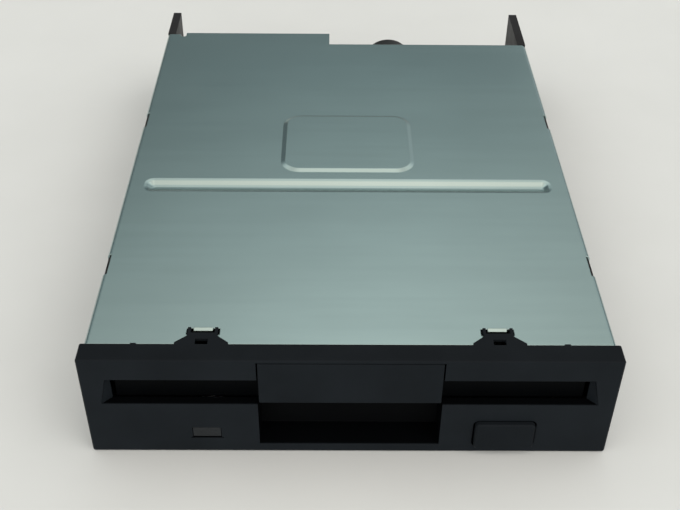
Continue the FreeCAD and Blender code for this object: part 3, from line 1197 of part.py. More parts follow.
def upper_arm():
    h = HEAD_Y
    z0 = MEDIA_Z + SLEEVE_TOP
    rear = ARM_Y + TOWER_T
    half = ARM_W / 2
    neck = ARM_NECK_W / 2
    plan = [(-half, rear), (-half, h + 3 * DECK_FRONT), (-neck, h + 1.5 * DECK_FRONT),
            (-half, h - DECK_FRONT)]
    plan += [(-x, y) for x, y in reversed(plan)]
    plate = prism_z(plan, z0, z0 + ARM_T)
    lug_z = ARM_Z - ARM_T
    lug = [(ARM_Y - 1.5 * ARM_T, z0 + ROOT), (ARM_Y - ARM_T, lug_z), (ARM_Y + ARM_T, lug_z),
           (ARM_Y + 1.5 * ARM_T, z0 + ROOT)]
    boss = prism_x(lug, -half, half)
    rib_z = z0 + 1.5 * ARM_T
    rib = [(h + 1.5 * DECK_FRONT, z0 + ROOT), (rear, z0 + ROOT), (rear, rib_z),
           (h + 3 * DECK_FRONT, rib_z)]
    ribs = both_sides(prism_x(rib, half - ARM_RIB_T, half))
    reach = TOWER_IN + TOWER_T - 2 * RUN_FIT
    axle = rod_x(ARM_Y, ARM_Z, ARM_AXLE_R, -reach, reach)
    return lifted(join(plate, boss, axle, *ribs))


def upper_head():
    return lifted(head(MEDIA_Z + SLEEVE_TOP, MEDIA_Z + HEAD_AIR))


def arm_spring():
    z0 = MEDIA_Z + SLEEVE_TOP + ARM_T
    half = ARM_W / 2 - ARM_RIB_T - RUN_FIT
    front = HEAD_Y + 3.5 * DECK_FRONT
    leaf = [(-half / 2, front), (half / 2, front), (half, ARM_Y + ARM_T), (-half, ARM_Y + ARM_T)]
    return lifted(prism_z(leaf, z0, z0 + ARM_SPRING_T))


def lead_screw():
    core = rod_y(SCREW_X, SCREW_Z, SCREW_R, BRACKET_Y0 + BRACKET_T + ROOT, STEPPER_Y0 + 2 * BRACKET_T)
    tip = rod_y(SCREW_X, SCREW_Z, SCREW_TIP_R, BRACKET_Y0 + RUN_FIT, BRACKET_Y0 + 2 * BRACKET_T)
    return join(core, tip)


def stepper_bracket():
    z0 = FLOOR_Z1
    z1 = FLOOR_Z1 + BRACKET_T
    top = SCREW_Z + STEPPER_R
    x0 = SCREW_X - STEPPER_R - BRACKET_T
    x1 = SCREW_X + BRACKET_STRIP_OUT
    bend = [(BRACKET_Y0, z0, BRACKET_T), (STEPPER_Y0, z0, BRACKET_T), (STEPPER_Y0, top),
            (BRACKET_Y1, top)]
    bend += [(BRACKET_Y1, z1), (BRACKET_Y0 + BRACKET_T, z1), (BRACKET_Y0 + BRACKET_T, top),
             (BRACKET_Y0, top)]
    sheet = prism_x(bend, x0, x1)
    strip_x = SCREW_X + BRACKET_STRIP_IN
    ear_x0 = SCREW_X - BRACKET_EAR
    ear_x1 = SCREW_X + BRACKET_EAR
    ear_z = SCREW_Z + BRACKET_EAR
    low_z = SCREW_Z - BRACKET_EAR - BRACKET_T
    front = [(x0 - 1, z0 - 1), (ear_x0, z0 - 1), (ear_x0, ear_z), (ear_x1, ear_z), (ear_x1, low_z),
             (x1 + 1, low_z)]
    front += [(x1 + 1, top + 1), (x0 - 1, top + 1)]
    cuts = [box(x0 - 1, strip_x, BRACKET_Y0 + BRACKET_T, BRACKET_Y1, z0 - 1, z1)]
    cuts.append(prism_y(front, BRACKET_Y0 - 1, BRACKET_Y0 + 2 * BRACKET_T))
    corner = STEPPER_R / 2
    clipped = ((x1 - corner, top), (x1 + 1, top - corner - 1), (x1 + 1, top + 1), (x1 - corner, top + 1))
    cuts.append(prism_y(clipped, BRACKET_Y1 - 1, STEPPER_Y0 + 1))
    cuts.append(rod_y(SCREW_X, SCREW_Z, BUSH_R, BRACKET_Y0 - 1, BRACKET_Y0 + 2 * BRACKET_T))
    cuts.append(rod_y(SCREW_X, SCREW_Z, SCREW_R + 2 * PASS_GAP, BRACKET_Y1 - 1, STEPPER_Y0 + 1))
    return sheet.cut(cuts)


def screw_bearing():
    bush = rod_y(SCREW_X, SCREW_Z, BUSH_R - SEAT_FIT, BRACKET_Y0, BRACKET_Y0 + BRACKET_T)
    rim = prism_y(octagon(SCREW_X, SCREW_Z, BUSH_RIM_R), BRACKET_Y0 - BUSH_RIM_T, BRACKET_Y0)
    bore = rod_y(SCREW_X, SCREW_Z, SCREW_TIP_R + RUN_FIT, BRACKET_Y0, BRACKET_Y0 + 2 * BRACKET_T)
    return join(bush, rim).cut(bore)


def stepper_can():
    can = rod_y(SCREW_X, SCREW_Z, STEPPER_R, STEPPER_Y0, STEPPER_Y0 + STEPPER_L)
    return can.cut(rod_y(SCREW_X, SCREW_Z, SCREW_R + RUN_FIT, STEPPER_Y0 - 1, STEPPER_Y0 + 3 * BRACKET_T))


def control_board():
    return prism_z(clipped_rect(-BOARD_X, BOARD_X, BOARD_Y0, BOARD_Y1, BOARD_CUT), BOARD_Z, BOARD_TOP)


def signal_header():
    half = HEADER_L / 2
    block = box(HEADER_X - half, HEADER_X + half, HEADER_Y, HEADER_Y + HEADER_T,
                BOARD_TOP, BOARD_TOP + HEADER_H)
    key = box(HEADER_X - KEY_W / 2, HEADER_X + KEY_W / 2, HEADER_Y - KEY_T, HEADER_Y,
              BOARD_TOP, BOARD_TOP + HEADER_H / 2)
    return join(block, key)


def signal_pins():
    pins = []
    y0 = HEADER_Y + HEADER_T
    half = PIN_T / 2
    for column in range(PIN_COLUMNS):
        x = HEADER_X + (column - (PIN_COLUMNS - 1) / 2) * PIN_PITCH
        for row in range(2):
            if row == 0 and column == PIN_MISSING:
                continue
            z = BOARD_TOP + PIN_RISE + row * PIN_PITCH
            pins.append(box(x - half, x + half, y0, y0 + PIN_L, z - half, z + half))
    return Part.makeCompound(pins)


def power_header():
    half = POWER_PINS * POWER_PITCH / 2 + SOCKET_T
    wall_y = HEADER_Y + HEADER_T
    shelf_z = BOARD_TOP + SHELF_T
    side = [(HEADER_Y, BOARD_TOP), (BOARD_Y1, BOARD_TOP), (BOARD_Y1, shelf_z + SOCKET_T),
            (BOARD_Y1 - SHELF_T, shelf_z + SOCKET_T)]
    side += [(BOARD_Y1 - 2 * SHELF_T, shelf_z), (wall_y, shelf_z), (wall_y, BOARD_TOP + HEADER_H),
             (HEADER_Y, BOARD_TOP + HEADER_H)]
    return prism_x(side, POWER_X - half, POWER_X + half)


def power_pins():
    pins = []
    y0 = HEADER_Y + HEADER_T
    z = BOARD_TOP + POWER_RISE
    half = POWER_PIN_T / 2
    for i in range(POWER_PINS):
        x = POWER_X + (i - (POWER_PINS - 1) / 2) * POWER_PITCH
        pins.append(box(x - half, x + half, y0, y0 + PIN_L, z - half, z + half))
    return Part.makeCompound(pins)


def controller_chip():
    y = BOARD_Y0 + CHIP_W
    half = CHIP_W / 2
    z1 = BOARD_Z - CHIP_LEAD_T / 4
    lead = half + CHIP_LEAD
    edge = half - CHIP_LEAD
    leads_z = BOARD_Z - CHIP_LEAD_T
    body = prism_z(clipped_rect(CHIP_X - half, CHIP_X + half, y - half, y + half, CHIP_LEAD),
                   BOARD_Z - CHIP_H, z1)
    across = box(CHIP_X - lead, CHIP_X + lead, y - edge, y + edge, leads_z, BOARD_Z)
    along = box(CHIP_X - edge, CHIP_X + edge, y - lead, y + lead, leads_z, BOARD_Z)
    return join(body, across, along)


def driver_chip():
    y = SPINDLE_Y - DRIVER_FRONT
    a = DRIVER_W / 2
    b = DRIVER_L / 2
    body = box(-a, a, y - b, y + b, PLATE_Z0 - DRIVER_H, PLATE_Z0 - CHIP_LEAD_T / 4)
    edge = a - CHIP_LEAD
    lead = b + CHIP_LEAD
    return join(body, box(-edge, edge, y - lead, y + lead, PLATE_Z0 - CHIP_LEAD_T, PLATE_Z0))


def capacitors():
    cans = []
    y = (FLOOR_REAR + HEADER_Y) / 2
    slope = CHIP_LEAD_T
    for x in (POWER_X - 2 * CAP_W, HEADER_X - 3 * CAP_W, HEADER_X - 1.5 * CAP_W):
        side = [(x - CAP_W / 2, BOARD_TOP), (x + CAP_W / 2, BOARD_TOP),
                (x + CAP_W / 2, BOARD_TOP + CAP_H / 2)]
        side += [(x + CAP_W / 2 - slope, BOARD_TOP + CAP_H), (slope + x - CAP_W / 2, BOARD_TOP + CAP_H)]
        side += [(x - CAP_W / 2, BOARD_TOP + CAP_H / 2)]
        cans.append(prism_y(side, y - CAP_L / 2, y + CAP_L / 2))
    return Part.makeCompound(cans)


def activity_lamp():
    y0 = FRONT + LAMP_SUNK
    lens = box(LAMP_X - LAMP_W / 2, LAMP_X + LAMP_W / 2, y0, y0 + LAMP_L,
               LAMP_Z - LAMP_H / 2, LAMP_Z + LAMP_H / 2)
    return lens.makeChamfer(LAMP_SUNK, front_edges(lens, y0))


def lamp_leads():
    y0 = FRONT + LAMP_SUNK + LAMP_L
    y1 = LAMP_LEAD_Y
    half = LAMP_LEAD_T / 2
    side = [(y0, LAMP_Z - half), (y1 - LAMP_LEAD_T, LAMP_Z - half), (y1 - LAMP_LEAD_T, FLOOR_Z0),
            (y1, FLOOR_Z0)]
    side += [(y1, LAMP_Z + half), (y0, LAMP_Z + half)]
    leads = []
    for x in (LAMP_X - LAMP_LEAD_PITCH / 2, LAMP_X + LAMP_LEAD_PITCH / 2):
        leads.append(prism_x(side, x - half, x + half))
    return Part.makeCompound(leads)


def sensing_switches():
    bodies = []
    a = SWITCH_W / 2
    b = SWITCH_L / 2
    hole = PLUNGER_W / 2 + RUN_FIT
    for name, x in SWITCHES:
        body = prism_z(clipped_rect(x - a, x + a, SWITCH_Y - b, SWITCH_Y + b, ROOT), FLOOR_Z1, SWITCH_TOP)
        bore = box(x - hole, x + hole, SWITCH_Y - hole, SWITCH_Y + hole,
                   FLOOR_Z1 + SWITCH_FLOOR, SWITCH_TOP + 1)
        bodies.append(body.cut(bore))
    return Part.makeCompound(bodies)


def plunger(x):
    z0 = FLOOR_Z1 + SWITCH_FLOOR + PLUNGER_STROKE + RUN_FIT
    z1 = SWITCH_TOP + PLUNGER_STROKE + PLUNGER_PROUD
    half = PLUNGER_W / 2
    side = [(SWITCH_Y - half, z0), (SWITCH_Y + half, z0), (SWITCH_Y + half, z1 - half),
            (SWITCH_Y + half / 2, z1)]
    side += [(SWITCH_Y - half / 2, z1), (SWITCH_Y - half, z1 - half)]
    return prism_x(side, x - half, x + half)


def track_sensor():
    y0 = HEAD_Y + DECK_FRONT + DECK_L + DECK_T - CHIP_LEAD_T
    z1 = FLOOR_Z1 + SENSOR_H
    half = SENSOR_W / 2
    slot = SENSOR_SLOT / 2
    floor = FLOOR_Z1 + ROOT
    fork = [(-half, FLOOR_Z1), (half, FLOOR_Z1), (half, z1), (slot, z1), (slot, floor), (-slot, floor),
            (-slot, z1), (-half, z1)]
    return prism_y(fork, y0, y0 + SENSOR_L)


def head_flex():
    z = ROD_Z + SLEEVE_TOP
    h = HEAD_Y + SLEEVE_FRONT
    rear = SLEEVE_L + FLOOR_TAIL
    crest = z + FLEX_RISE
    down_y = HEAD_Y + BRACKET_BEHIND + SENSOR_L + BRACKET_T
    path = [(h + SLEEVE_L / 2, z), (h + SLEEVE_L, z), (h + rear + FLEX_RISE, crest),
            (down_y - FLEX_RISE, crest), (down_y, BOARD_TOP)]
    over = [(y + FLEX_T, z) for y, z in path[3:]]
    under = [(y, z + FLEX_T) for y, z in path[:3]]
    return prism_x(path + over[::-1] + under[::-1], ROD_X - FLEX_W / 2, ROD_X + FLEX_W / 2)


def nodes():
    yield "main_frame", main_frame()
    yield "side_rail_left", mirrored(side_rail(TAB_Y1 - ROOT))
    yield "side_rail_right", side_rail(COVER_Y1 + PASS_GAP)
    yield "top_cover", top_cover()
    yield "front_bezel", front_bezel()
    yield "door_flap", door_flap()
    yield "flap_spring", flap_spring()
    yield "eject_button", eject_button()
    yield "slider_plate", slider_plate()
    yield "disk_holder", disk_holder()
    yield "holder_pins", holder_pins()
    yield "latch_lever", latch_lever()
    yield "latch_spring", latch_spring()
    yield "latch_retainer", latch_retainer()
    yield "eject_spring_left", mirrored(eject_spring())
    yield "eject_spring_right", eject_spring()
    yield "motor_plate", motor_plate()
    yield "spindle_bearing", spindle_bearing()
    yield "spindle_shaft", spindle_shaft()
    yield "rotor_cup", rotor_cup()
    yield "rotor_magnet", rotor_magnet()
    yield "chucking_hub", chucking_hub()
    yield "drive_pin", drive_pin()
    yield "stator_core", stator_core()
    yield "stator_coils", stator_coils()
    yield "guide_rod", guide_rod()
    yield "rod_clamps", rod_clamps()
    yield "head_carriage", head_carriage()
    yield "screw_follower", screw_follower()
    yield "lower_head", lower_head()
    yield "upper_arm", upper_arm()
    yield "upper_head", upper_head()
    yield "arm_spring", arm_spring()
    yield "lead_screw", lead_screw()
    yield "stepper_bracket", stepper_bracket()
    yield "screw_bearing", screw_bearing()
    yield "stepper_can", stepper_can()
    yield "control_board", control_board()
    yield "signal_header", signal_header()
    yield "signal_pins", signal_pins()
    yield "power_header", power_header()
    yield "power_pins", power_pins()
    yield "controller_chip", controller_chip()
    yield "driver_chip", driver_chip()
    yield "capacitors", capacitors()
    yield "activity_lamp", activity_lamp()
    yield "lamp_leads", lamp_leads()
    yield "sensing_switches", sensing_switches()
    for name, x in SWITCHES:
        yield name + "_plunger", plunger(x)
    yield "track_sensor", track_sensor()
    yield "head_flex", head_flex()


os.makedirs("parts", exist_ok=True)
for node, shape in nodes():
    shape.exportStep("parts/" + node + ".step")
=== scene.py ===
import json
import math
from typing import NamedTuple

import bmesh
import bpy
from bpy.props import FloatProperty, FloatVectorProperty, IntProperty, PointerProperty
from mathutils import Matrix, Vector


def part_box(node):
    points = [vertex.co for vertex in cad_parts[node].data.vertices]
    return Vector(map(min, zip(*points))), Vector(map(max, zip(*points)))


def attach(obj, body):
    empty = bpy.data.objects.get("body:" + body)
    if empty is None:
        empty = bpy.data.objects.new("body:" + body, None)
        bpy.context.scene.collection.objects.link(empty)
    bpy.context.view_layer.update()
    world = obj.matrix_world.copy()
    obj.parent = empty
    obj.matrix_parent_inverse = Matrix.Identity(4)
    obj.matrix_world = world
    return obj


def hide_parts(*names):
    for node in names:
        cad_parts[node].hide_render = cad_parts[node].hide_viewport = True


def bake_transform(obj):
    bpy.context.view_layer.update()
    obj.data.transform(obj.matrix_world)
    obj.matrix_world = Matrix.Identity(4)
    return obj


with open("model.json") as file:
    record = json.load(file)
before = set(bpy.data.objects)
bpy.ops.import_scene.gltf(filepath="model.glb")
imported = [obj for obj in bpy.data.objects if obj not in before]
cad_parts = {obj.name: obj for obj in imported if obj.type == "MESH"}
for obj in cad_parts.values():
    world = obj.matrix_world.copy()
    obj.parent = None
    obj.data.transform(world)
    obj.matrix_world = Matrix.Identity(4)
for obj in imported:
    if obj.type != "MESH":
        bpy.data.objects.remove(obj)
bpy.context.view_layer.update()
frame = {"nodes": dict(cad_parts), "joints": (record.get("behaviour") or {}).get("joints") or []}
JOINTS = {joint["name"]: joint for joint in frame["joints"]}

bl_info = {
    "name": "Floppy Disk Drive Dressing",
    "version": (1, 0, 0),
    "blender": (4, 5, 0),
    "location": "3D View > Sidebar > Drive",
    "description": "Finishes, springs, screws, circuit parts and stage of a floppy disk drive",
    "category": "Object",
}

MM = 0.001
AXIS_X = Vector((1, 0, 0))
AXIS_Y = Vector((0, 1, 0))
AXIS_Z = Vector((0, 0, 1))


def colour_prop(name, description, default):
    return FloatVectorProperty(
        name=name, description=description, subtype="COLOR", size=3, min=0.0, max=1.0,
        default=default,
    )


def length_prop(name, description, millimetres):
    return FloatProperty(
        name=name, description=description, unit="LENGTH", min=0.0, default=millimetres * MM
    )


def count_prop(name, description, default):
    return IntProperty(name=name, description=description, min=1, default=default)


def angle_prop(name, description, degrees):
    return FloatProperty(
        name=name, description=description, subtype="ANGLE", default=math.radians(degrees)
    )


def power_prop(name, description, watts):
    return FloatProperty(
        name=name, description=description, unit="POWER", min=0.0, default=watts
    )


class DriveColours(bpy.types.PropertyGroup):
    """Base colours of the finishes"""

    cover: colour_prop("Cover", "Zinc-coated cover sheet", (0.318, 0.416, 0.408))
    bezel: colour_prop("Bezel", "Bezel, door and button", (0.0098, 0.0127, 0.0158))
    frame: colour_prop("Frame", "Frame, rails and black housings", (0.012, 0.012, 0.013))
    sheet: colour_prop("Sheet steel", "Plated sheet inside the drive", (0.52, 0.52, 0.50))
    bright: colour_prop("Bright steel", "Ground shafts, pins and screws", (0.66, 0.66, 0.65))
    wire: colour_prop("Spring wire", "Drawn spring wire", (0.50, 0.50, 0.51))
    bronze: colour_prop("Bronze", "Sintered bearings", (0.46, 0.29, 0.12))
    copper: colour_prop("Copper", "Enamelled winding", (0.50, 0.17, 0.05))
    iron: colour_prop("Core", "Stacked stator sheets", (0.19, 0.19, 0.20))
    magnet: colour_prop("Magnet", "Bonded ring magnet", (0.035, 0.035, 0.04))
    carriage: colour_prop("Carriage", "Resin of the carriage and arm", (0.115, 0.115, 0.118))
    acetal: colour_prop("Acetal", "Power connector and plungers", (0.72, 0.70, 0.63))
    ceramic: colour_prop("Head", "Ground head sliders", (0.25, 0.24, 0.23))
    can: colour_prop("Motor can", "Blackened stepper can", (0.016, 0.016, 0.0155))
    board: colour_prop("Board", "Solder mask", (0.018, 0.095, 0.038))
    gold: colour_prop("Gold", "Contact pins", (0.74, 0.55, 0.20))
    solder: colour_prop("Solder", "Solder joints, leads and end caps", (0.55, 0.55, 0.56))
    chip: colour_prop("Chip", "Chips, small parts and track sensor", (0.018, 0.018, 0.019))
    capacitor: colour_prop("Capacitor", "Moulded capacitor bodies", (0.52, 0.27, 0.05))
    lamp: colour_prop("Lamp", "Smoked lens of the activity lamp", (0.010, 0.0128, 0.0158))
    film: colour_prop("Film cable", "Film of the head cable", (0.42, 0.19, 0.035))
    floor: colour_prop("Floor", "Plain pale floor", (0.55, 0.588, 0.594))


class DriveSizes(bpy.types.PropertyGroup):
    """Sizes of the pieces that are made here"""

    edge: length_prop("Edge softness", "Radius to which sharp edges look worn", 0.22)
    eject_wire: length_prop("Eject spring wire", "Wire diameter of the eject springs", 0.42)
    eject_pitch: length_prop("Eject spring pitch", "Rise of one turn of the eject springs", 0.78)
    torsion_wire: length_prop("Torsion wire", "Wire of the latch and door springs", 0.34)
    latch_turns: count_prop("Latch spring turns", "Turns of the latch spring", 3)
    door_turns: count_prop("Door spring turns", "Turns of the door spring", 6)
    thread_lead: length_prop("Screw lead", "Rise of one turn of the lead screw's groove", 3.75)
    thread_depth: length_prop("Thread depth", "Depth of the lead screw's groove", 0.35)
    head_r: length_prop("Screw head radius", "Radius of the pan heads", 2.3)
    head_rise: length_prop("Screw head height", "Height of the pan heads", 1.05)
    chip_leads: count_prop("Chip leads", "Leads on each side of the controller", 20)
    driver_leads: count_prop("Driver leads", "Leads on each long side of the driver", 14)


class DriveView(bpy.types.PropertyGroup):
    """Camera and light"""

    place: FloatVectorProperty(
        name="Camera place", description="Where the camera stands", subtype="TRANSLATION",
        unit="LENGTH", default=(-3.64 * MM, -208.4 * MM, 160.2 * MM),
    )
    elevation: angle_prop("Elevation", "Camera's angle above the floor", 38.87)
    azimuth: angle_prop("Azimuth", "Camera's turn around the drive", -0.58)
    roll: angle_prop("Roll", "Camera's lean", 0.61)
    lens: FloatProperty(
        name="Lens", description="Focal length on a 36 mm frame", unit="CAMERA", default=54.37
    )
    key: power_prop("Key light", "Power of the soft light high in front, at the right", 0.8)
    side: power_prop("Side light", "Power of the soft light behind, at the right", 0.2)
    fill: power_prop("Fill light", "Power of the soft light low in front", 0.5)


# Stretches of a texture: even, or drawn out along one axis
EVEN = (1.0, 1.0, 1.0)
ALONG_X = (0.1, 1.0, 1.0)
ALONG_Y = (1.0, 0.1, 1.0)
ALONG_Z = (1.0, 1.0, 0.1)

# Noise: the values that are spread over a range, and the detail of each kind
NOISE_LOW = 0.3
NOISE_HIGH = 0.7
TONE_DETAIL = 5.0
WEAR_DETAIL = 6.0
GRAIN_DETAIL = 2.0
# Keeps the pattern of the wear apart from that of the colour
WEAR_SEED = (3.1, 1.7, 5.3)
EDGE_SAMPLES = 6
# Rolling streaks of the cover, and the shares of the colour that they leave
STREAK_SCALE = 420.0
STREAK_DETAIL = 3.0
STREAK_SHARES = (0.96, 0.965, 0.965)

# Openings of the front, darkened by painted shade: depths behind its face between which the shade
# begins, height of the solid rim above them and width of the solid ends beside them
LIP_NEAR = 0.05 * MM
LIP_FAR = 0.35 * MM
RIM_H = 3.0 * MM
END_W = 5.6 * MM
# Upward part of the normal from which a face begins to count as a floor, and fully does
FLOOR_TILT = (0.6, 0.8)
# Shares of the colour left by the painted shade on their walls and floors, and on the top of the
# rim
PAINTED_WALL_SHADE = 0.15
PAINTED_RIM_SHADE = 0.7


def node(tree, kind, inputs=None, **settings):
    """New shader node with its settings and the values of its inputs."""
    made = tree.nodes.new(kind)
    for name, value in settings.items():
        setattr(made, name, value)
    for name, value in (inputs or {}).items():
        made.inputs[name].default_value = value
    return made


def noise(tree, scale, detail, stretch=EVEN, seed=(0.0, 0.0, 0.0)):
    """Noise over the piece's own place in metres; stretch draws it out along an axis."""
    place = node(tree, "ShaderNodeTexCoord")
    mapping = node(tree, "ShaderNodeMapping", {"Scale": stretch, "Location": seed})
    texture = node(tree, "ShaderNodeTexNoise", {"Scale": scale, "Detail": detail})
    tree.links.new(place.outputs["Object"], mapping.inputs["Vector"])
    tree.links.new(mapping.outputs["Vector"], texture.inputs["Vector"])
    return texture.outputs["Fac"]


def between(tree, factor, low, high, start=NOISE_LOW, stop=NOISE_HIGH):
    """Values from low to high while a factor goes from start to stop."""
    spread = node(
        tree, "ShaderNodeMapRange",
        {"From Min": start, "From Max": stop, "To Min": low, "To Max": high},
    )
    tree.links.new(factor, spread.inputs["Value"])
    return spread.outputs["Result"]


def math_node(tree, operation, *values):
    """Result of one operation on the outputs of other nodes."""
    made = node(tree, "ShaderNodeMath", operation=operation)
    for value, socket in zip(values, made.inputs):
        tree.links.new(value, socket)
    return made.outputs[0]


def axes(tree, vector):
    """Outputs X, Y and Z of another node's vector."""
    split = node(tree, "ShaderNodeSeparateXYZ")
    tree.links.new(vector, split.inputs["Vector"])
    return split.outputs


def shade(base, share):
    return tuple(min(1.0, part * share) for part in base)


def opaque(tone):
    return (*tone, 1.0)


def mix(tree, factor, first, second, kind="MIX"):
    """Mix of two colours, each a tone or the output of another node."""
    made = node(tree, "ShaderNodeMix", data_type="RGBA", blend_type=kind)
    tree.links.new(factor, made.inputs["Factor"])
    for name, colour in (("A", first), ("B", second)):
        if isinstance(colour, bpy.types.NodeSocket):
            tree.links.new(colour, made.inputs[name])
        else:
            made.inputs[name].default_value = opaque(colour)
    return made.outputs["Result"]


class Finish:
    """A material under way: one shader whose colour, roughness and grain vary over the surface.

    Scales count features to the metre.
    """

    def __init__(self, name, values):
        self.material = bpy.data.materials.new(name)
        self.material.use_nodes = True
        self.tree = self.material.node_tree
        self.shader = self.tree.nodes["Principled BSDF"]
        for socket, value in values.items():
            self.shader.inputs[socket].default_value = value

    def link(self, output, name):
        self.tree.links.new(output, self.shader.inputs[name])

    def mottled(self, base, spread, scale, stretch=EVEN):
        """Base colour drifting between a darker and a lighter tone."""
        factor = between(self.tree, noise(self.tree, scale, TONE_DETAIL, stretch), 0.0, 1.0)
        colour = mix(self.tree, factor, shade(base, 1.0 - spread), shade(base, 1.0 + spread))
        self.link(colour, "Base Color")
        return colour

    def worn(self, low, high, scale, stretch=EVEN):
        """Roughness drifting between two values, as handling leaves it."""
        factor = noise(self.tree, scale, WEAR_DETAIL, stretch, WEAR_SEED)
        self.link(between(self.tree, factor, low, high), "Roughness")

    def grained(self, scale, depth, stretch=EVEN, edge=0.0):
        """Fine relief, on edges that look slightly rounded where edge is given."""
        bump = node(self.tree, "ShaderNodeBump", {"Strength": 1.0, "Distance": depth})
        height = noise(self.tree, scale, GRAIN_DETAIL, stretch)
        self.tree.links.new(height, bump.inputs["Height"])
        if edge:
            rounded = node(self.tree, "ShaderNodeBevel", {"Radius": edge}, samples=EDGE_SAMPLES)
            self.tree.links.new(rounded.outputs["Normal"], bump.inputs["Normal"])
        self.link(bump.outputs["Normal"], "Normal")

    def paint_front_shade(self, colour):
        """Painted shade on walls and floors inside the front's openings, and on its top rim."""
        tree = self.tree
        place = node(tree, "ShaderNodeTexCoord")
        spot = axes(tree, place.outputs["Object"])
        facing = axes(tree, place.outputs["Normal"])
        across = math_node(tree, "ABSOLUTE", spot["X"])
        low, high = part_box("front_bezel")
        below = high.z - RIM_H
        end = high.x - END_W
        behind = between(tree, spot["Y"], 0.0, 1.0, low.y + LIP_NEAR, low.y + LIP_FAR)
        under = between(tree, spot["Z"], 1.0, 0.0, below, below + LIP_FAR)
        inside = between(tree, across, 1.0, 0.0, end, end + LIP_FAR)
        floors = between(tree, facing["Z"], 0.0, 1.0, *FLOOR_TILT)
        top = between(tree, spot["Z"], 0.0, 1.0, high.z - LIP_FAR, high.z - LIP_NEAR)
        # Painted shade: walls and floors inside the openings are darkened where shade falls
        opening_shade = math_node(tree, "MULTIPLY", behind, under)
        opening_shade = math_node(tree, "MULTIPLY", opening_shade, math_node(tree, "MAXIMUM", inside, floors))
        colour = mix(tree, opening_shade, colour, (PAINTED_WALL_SHADE,) * 3, "MULTIPLY")
        # Painted shade: the top rim is made darker than the face
        self.link(mix(tree, top, colour, (PAINTED_RIM_SHADE,) * 3, "MULTIPLY"), "Base Color")


class Look(NamedTuple):
    """Plain finish: values of the shader, and what mottled, worn and grained take.

    tone is spread and scale, wear is low, high and scale, grain is scale and depth, each with
    its stretch last where it has one.
    """

    shader: dict
    tone: tuple
    wear: tuple = ()
    grain: tuple = ()


METAL = {"Metallic": 1.0}
LOOKS = {
    # Matt black resin with a coarse texture and flow marks along the frame
    "frame_black": Look(
        {"Specular IOR Level": 0.12},
        tone=(0.22, 70.0, (1.0, 0.3, 1.0)), wear=(0.42, 0.6, 110.0), grain=(2400.0, 0.014 * MM),
    ),
    # Spring wire with a dull drawn skin
    "spring_wire": Look(
        METAL, tone=(0.12, 600.0), wear=(0.24, 0.4, 900.0), grain=(5000.0, 0.002 * MM)
    ),
    # Porous bronze bearing, slightly oily
    "sintered_bronze": Look(
        METAL, tone=(0.25, 2400.0), wear=(0.3, 0.55, 1400.0), grain=(3600.0, 0.008 * MM)
    ),
    # Enamelled wire laid side by side
    "copper_winding": Look(
        {"Metallic": 0.9, "Roughness": 0.28, "Coat Weight": 0.5},
        tone=(0.2, 900.0), grain=(1400.0, 0.03 * MM, (1.0, 1.0, 2.5)),
    ),
    # Stator core: thin sheets on one another
    "stacked_sheets": Look(
        {"Metallic": 0.9, "Roughness": 0.45},
        tone=(0.15, 300.0), grain=(1800.0, 0.02 * MM, (0.05, 0.05, 1.0)),
    ),
    # Bonded magnet, matt and dark
    "ferrite": Look({"Roughness": 0.62}, tone=(0.25, 500.0), grain=(2200.0, 0.012 * MM)),
    # Glass-filled resin with a faint fibre pattern
    "filled_resin": Look(
        {}, tone=(0.16, 260.0, (1.0, 0.35, 1.0)), wear=(0.4, 0.58, 300.0),
        grain=(2800.0, 0.010 * MM, (1.0, 0.3, 1.0)),
    ),
    # Ivory acetal, a little translucent
    "white_acetal": Look(
        {"Subsurface Weight": 0.08, "Subsurface Radius": (1.0 * MM, 0.9 * MM, 0.7 * MM)},
        tone=(0.04, 220.0), wear=(0.26, 0.4, 260.0), grain=(1700.0, 0.006 * MM),
    ),
    # Lapped head slider
    "ground_ceramic": Look({}, tone=(0.1, 1100.0), wear=(0.08, 0.22, 900.0)),
    # Oxide-blackened drawn can with a soft oil sheen
    "blackened_can": Look(
        {"Metallic": 0.55},
        tone=(0.25, 160.0), wear=(0.28, 0.46, 240.0, (1.0, 0.2, 1.0)), grain=(1500.0, 0.006 * MM),
    ),
    # Moulded chip body
    "chip_epoxy": Look(
        {}, tone=(0.2, 700.0), wear=(0.42, 0.6, 500.0), grain=(4200.0, 0.012 * MM)
    ),
    # Moulded capacitor body
    "capacitor_epoxy": Look(
        {}, tone=(0.1, 400.0), wear=(0.32, 0.5, 500.0), grain=(3000.0, 0.008 * MM)
    ),
    # Tinted lens of the activity lamp: dark, glossy, slightly clear
    "smoked_lens": Look(
        {"Specular IOR Level": 0.2, "Transmission Weight": 0.15},
        tone=(0.15, 420.0), wear=(0.16, 0.28, 380.0), grain=(1500.0, 0.004 * MM),
    ),
    # Amber film with copper tracks showing through
    "cable_film": Look(
        {"Roughness": 0.24, "Coat Weight": 0.4},
        tone=(0.28, 1500.0, (1.0, 0.03, 0.03)), grain=(1500.0, 0.01 * MM, (1.0, 0.03, 0.03)),
    ),
    # Plain floor with a barely seen grain
    "pale_floor": Look({"Roughness": 0.75}, tone=(0.015, 40.0), grain=(700.0, 0.01 * MM)),
}


def plain_finish(name, base, edge=0.0):
    """Material from the table of looks."""
    look = LOOKS[name]
    finish = Finish(name, look.shader)
    finish.mottled(base, *look.tone)
    if look.wear:
        finish.worn(*look.wear)
    if look.grain:
        finish.grained(*look.grain, edge=edge)
    return finish.material


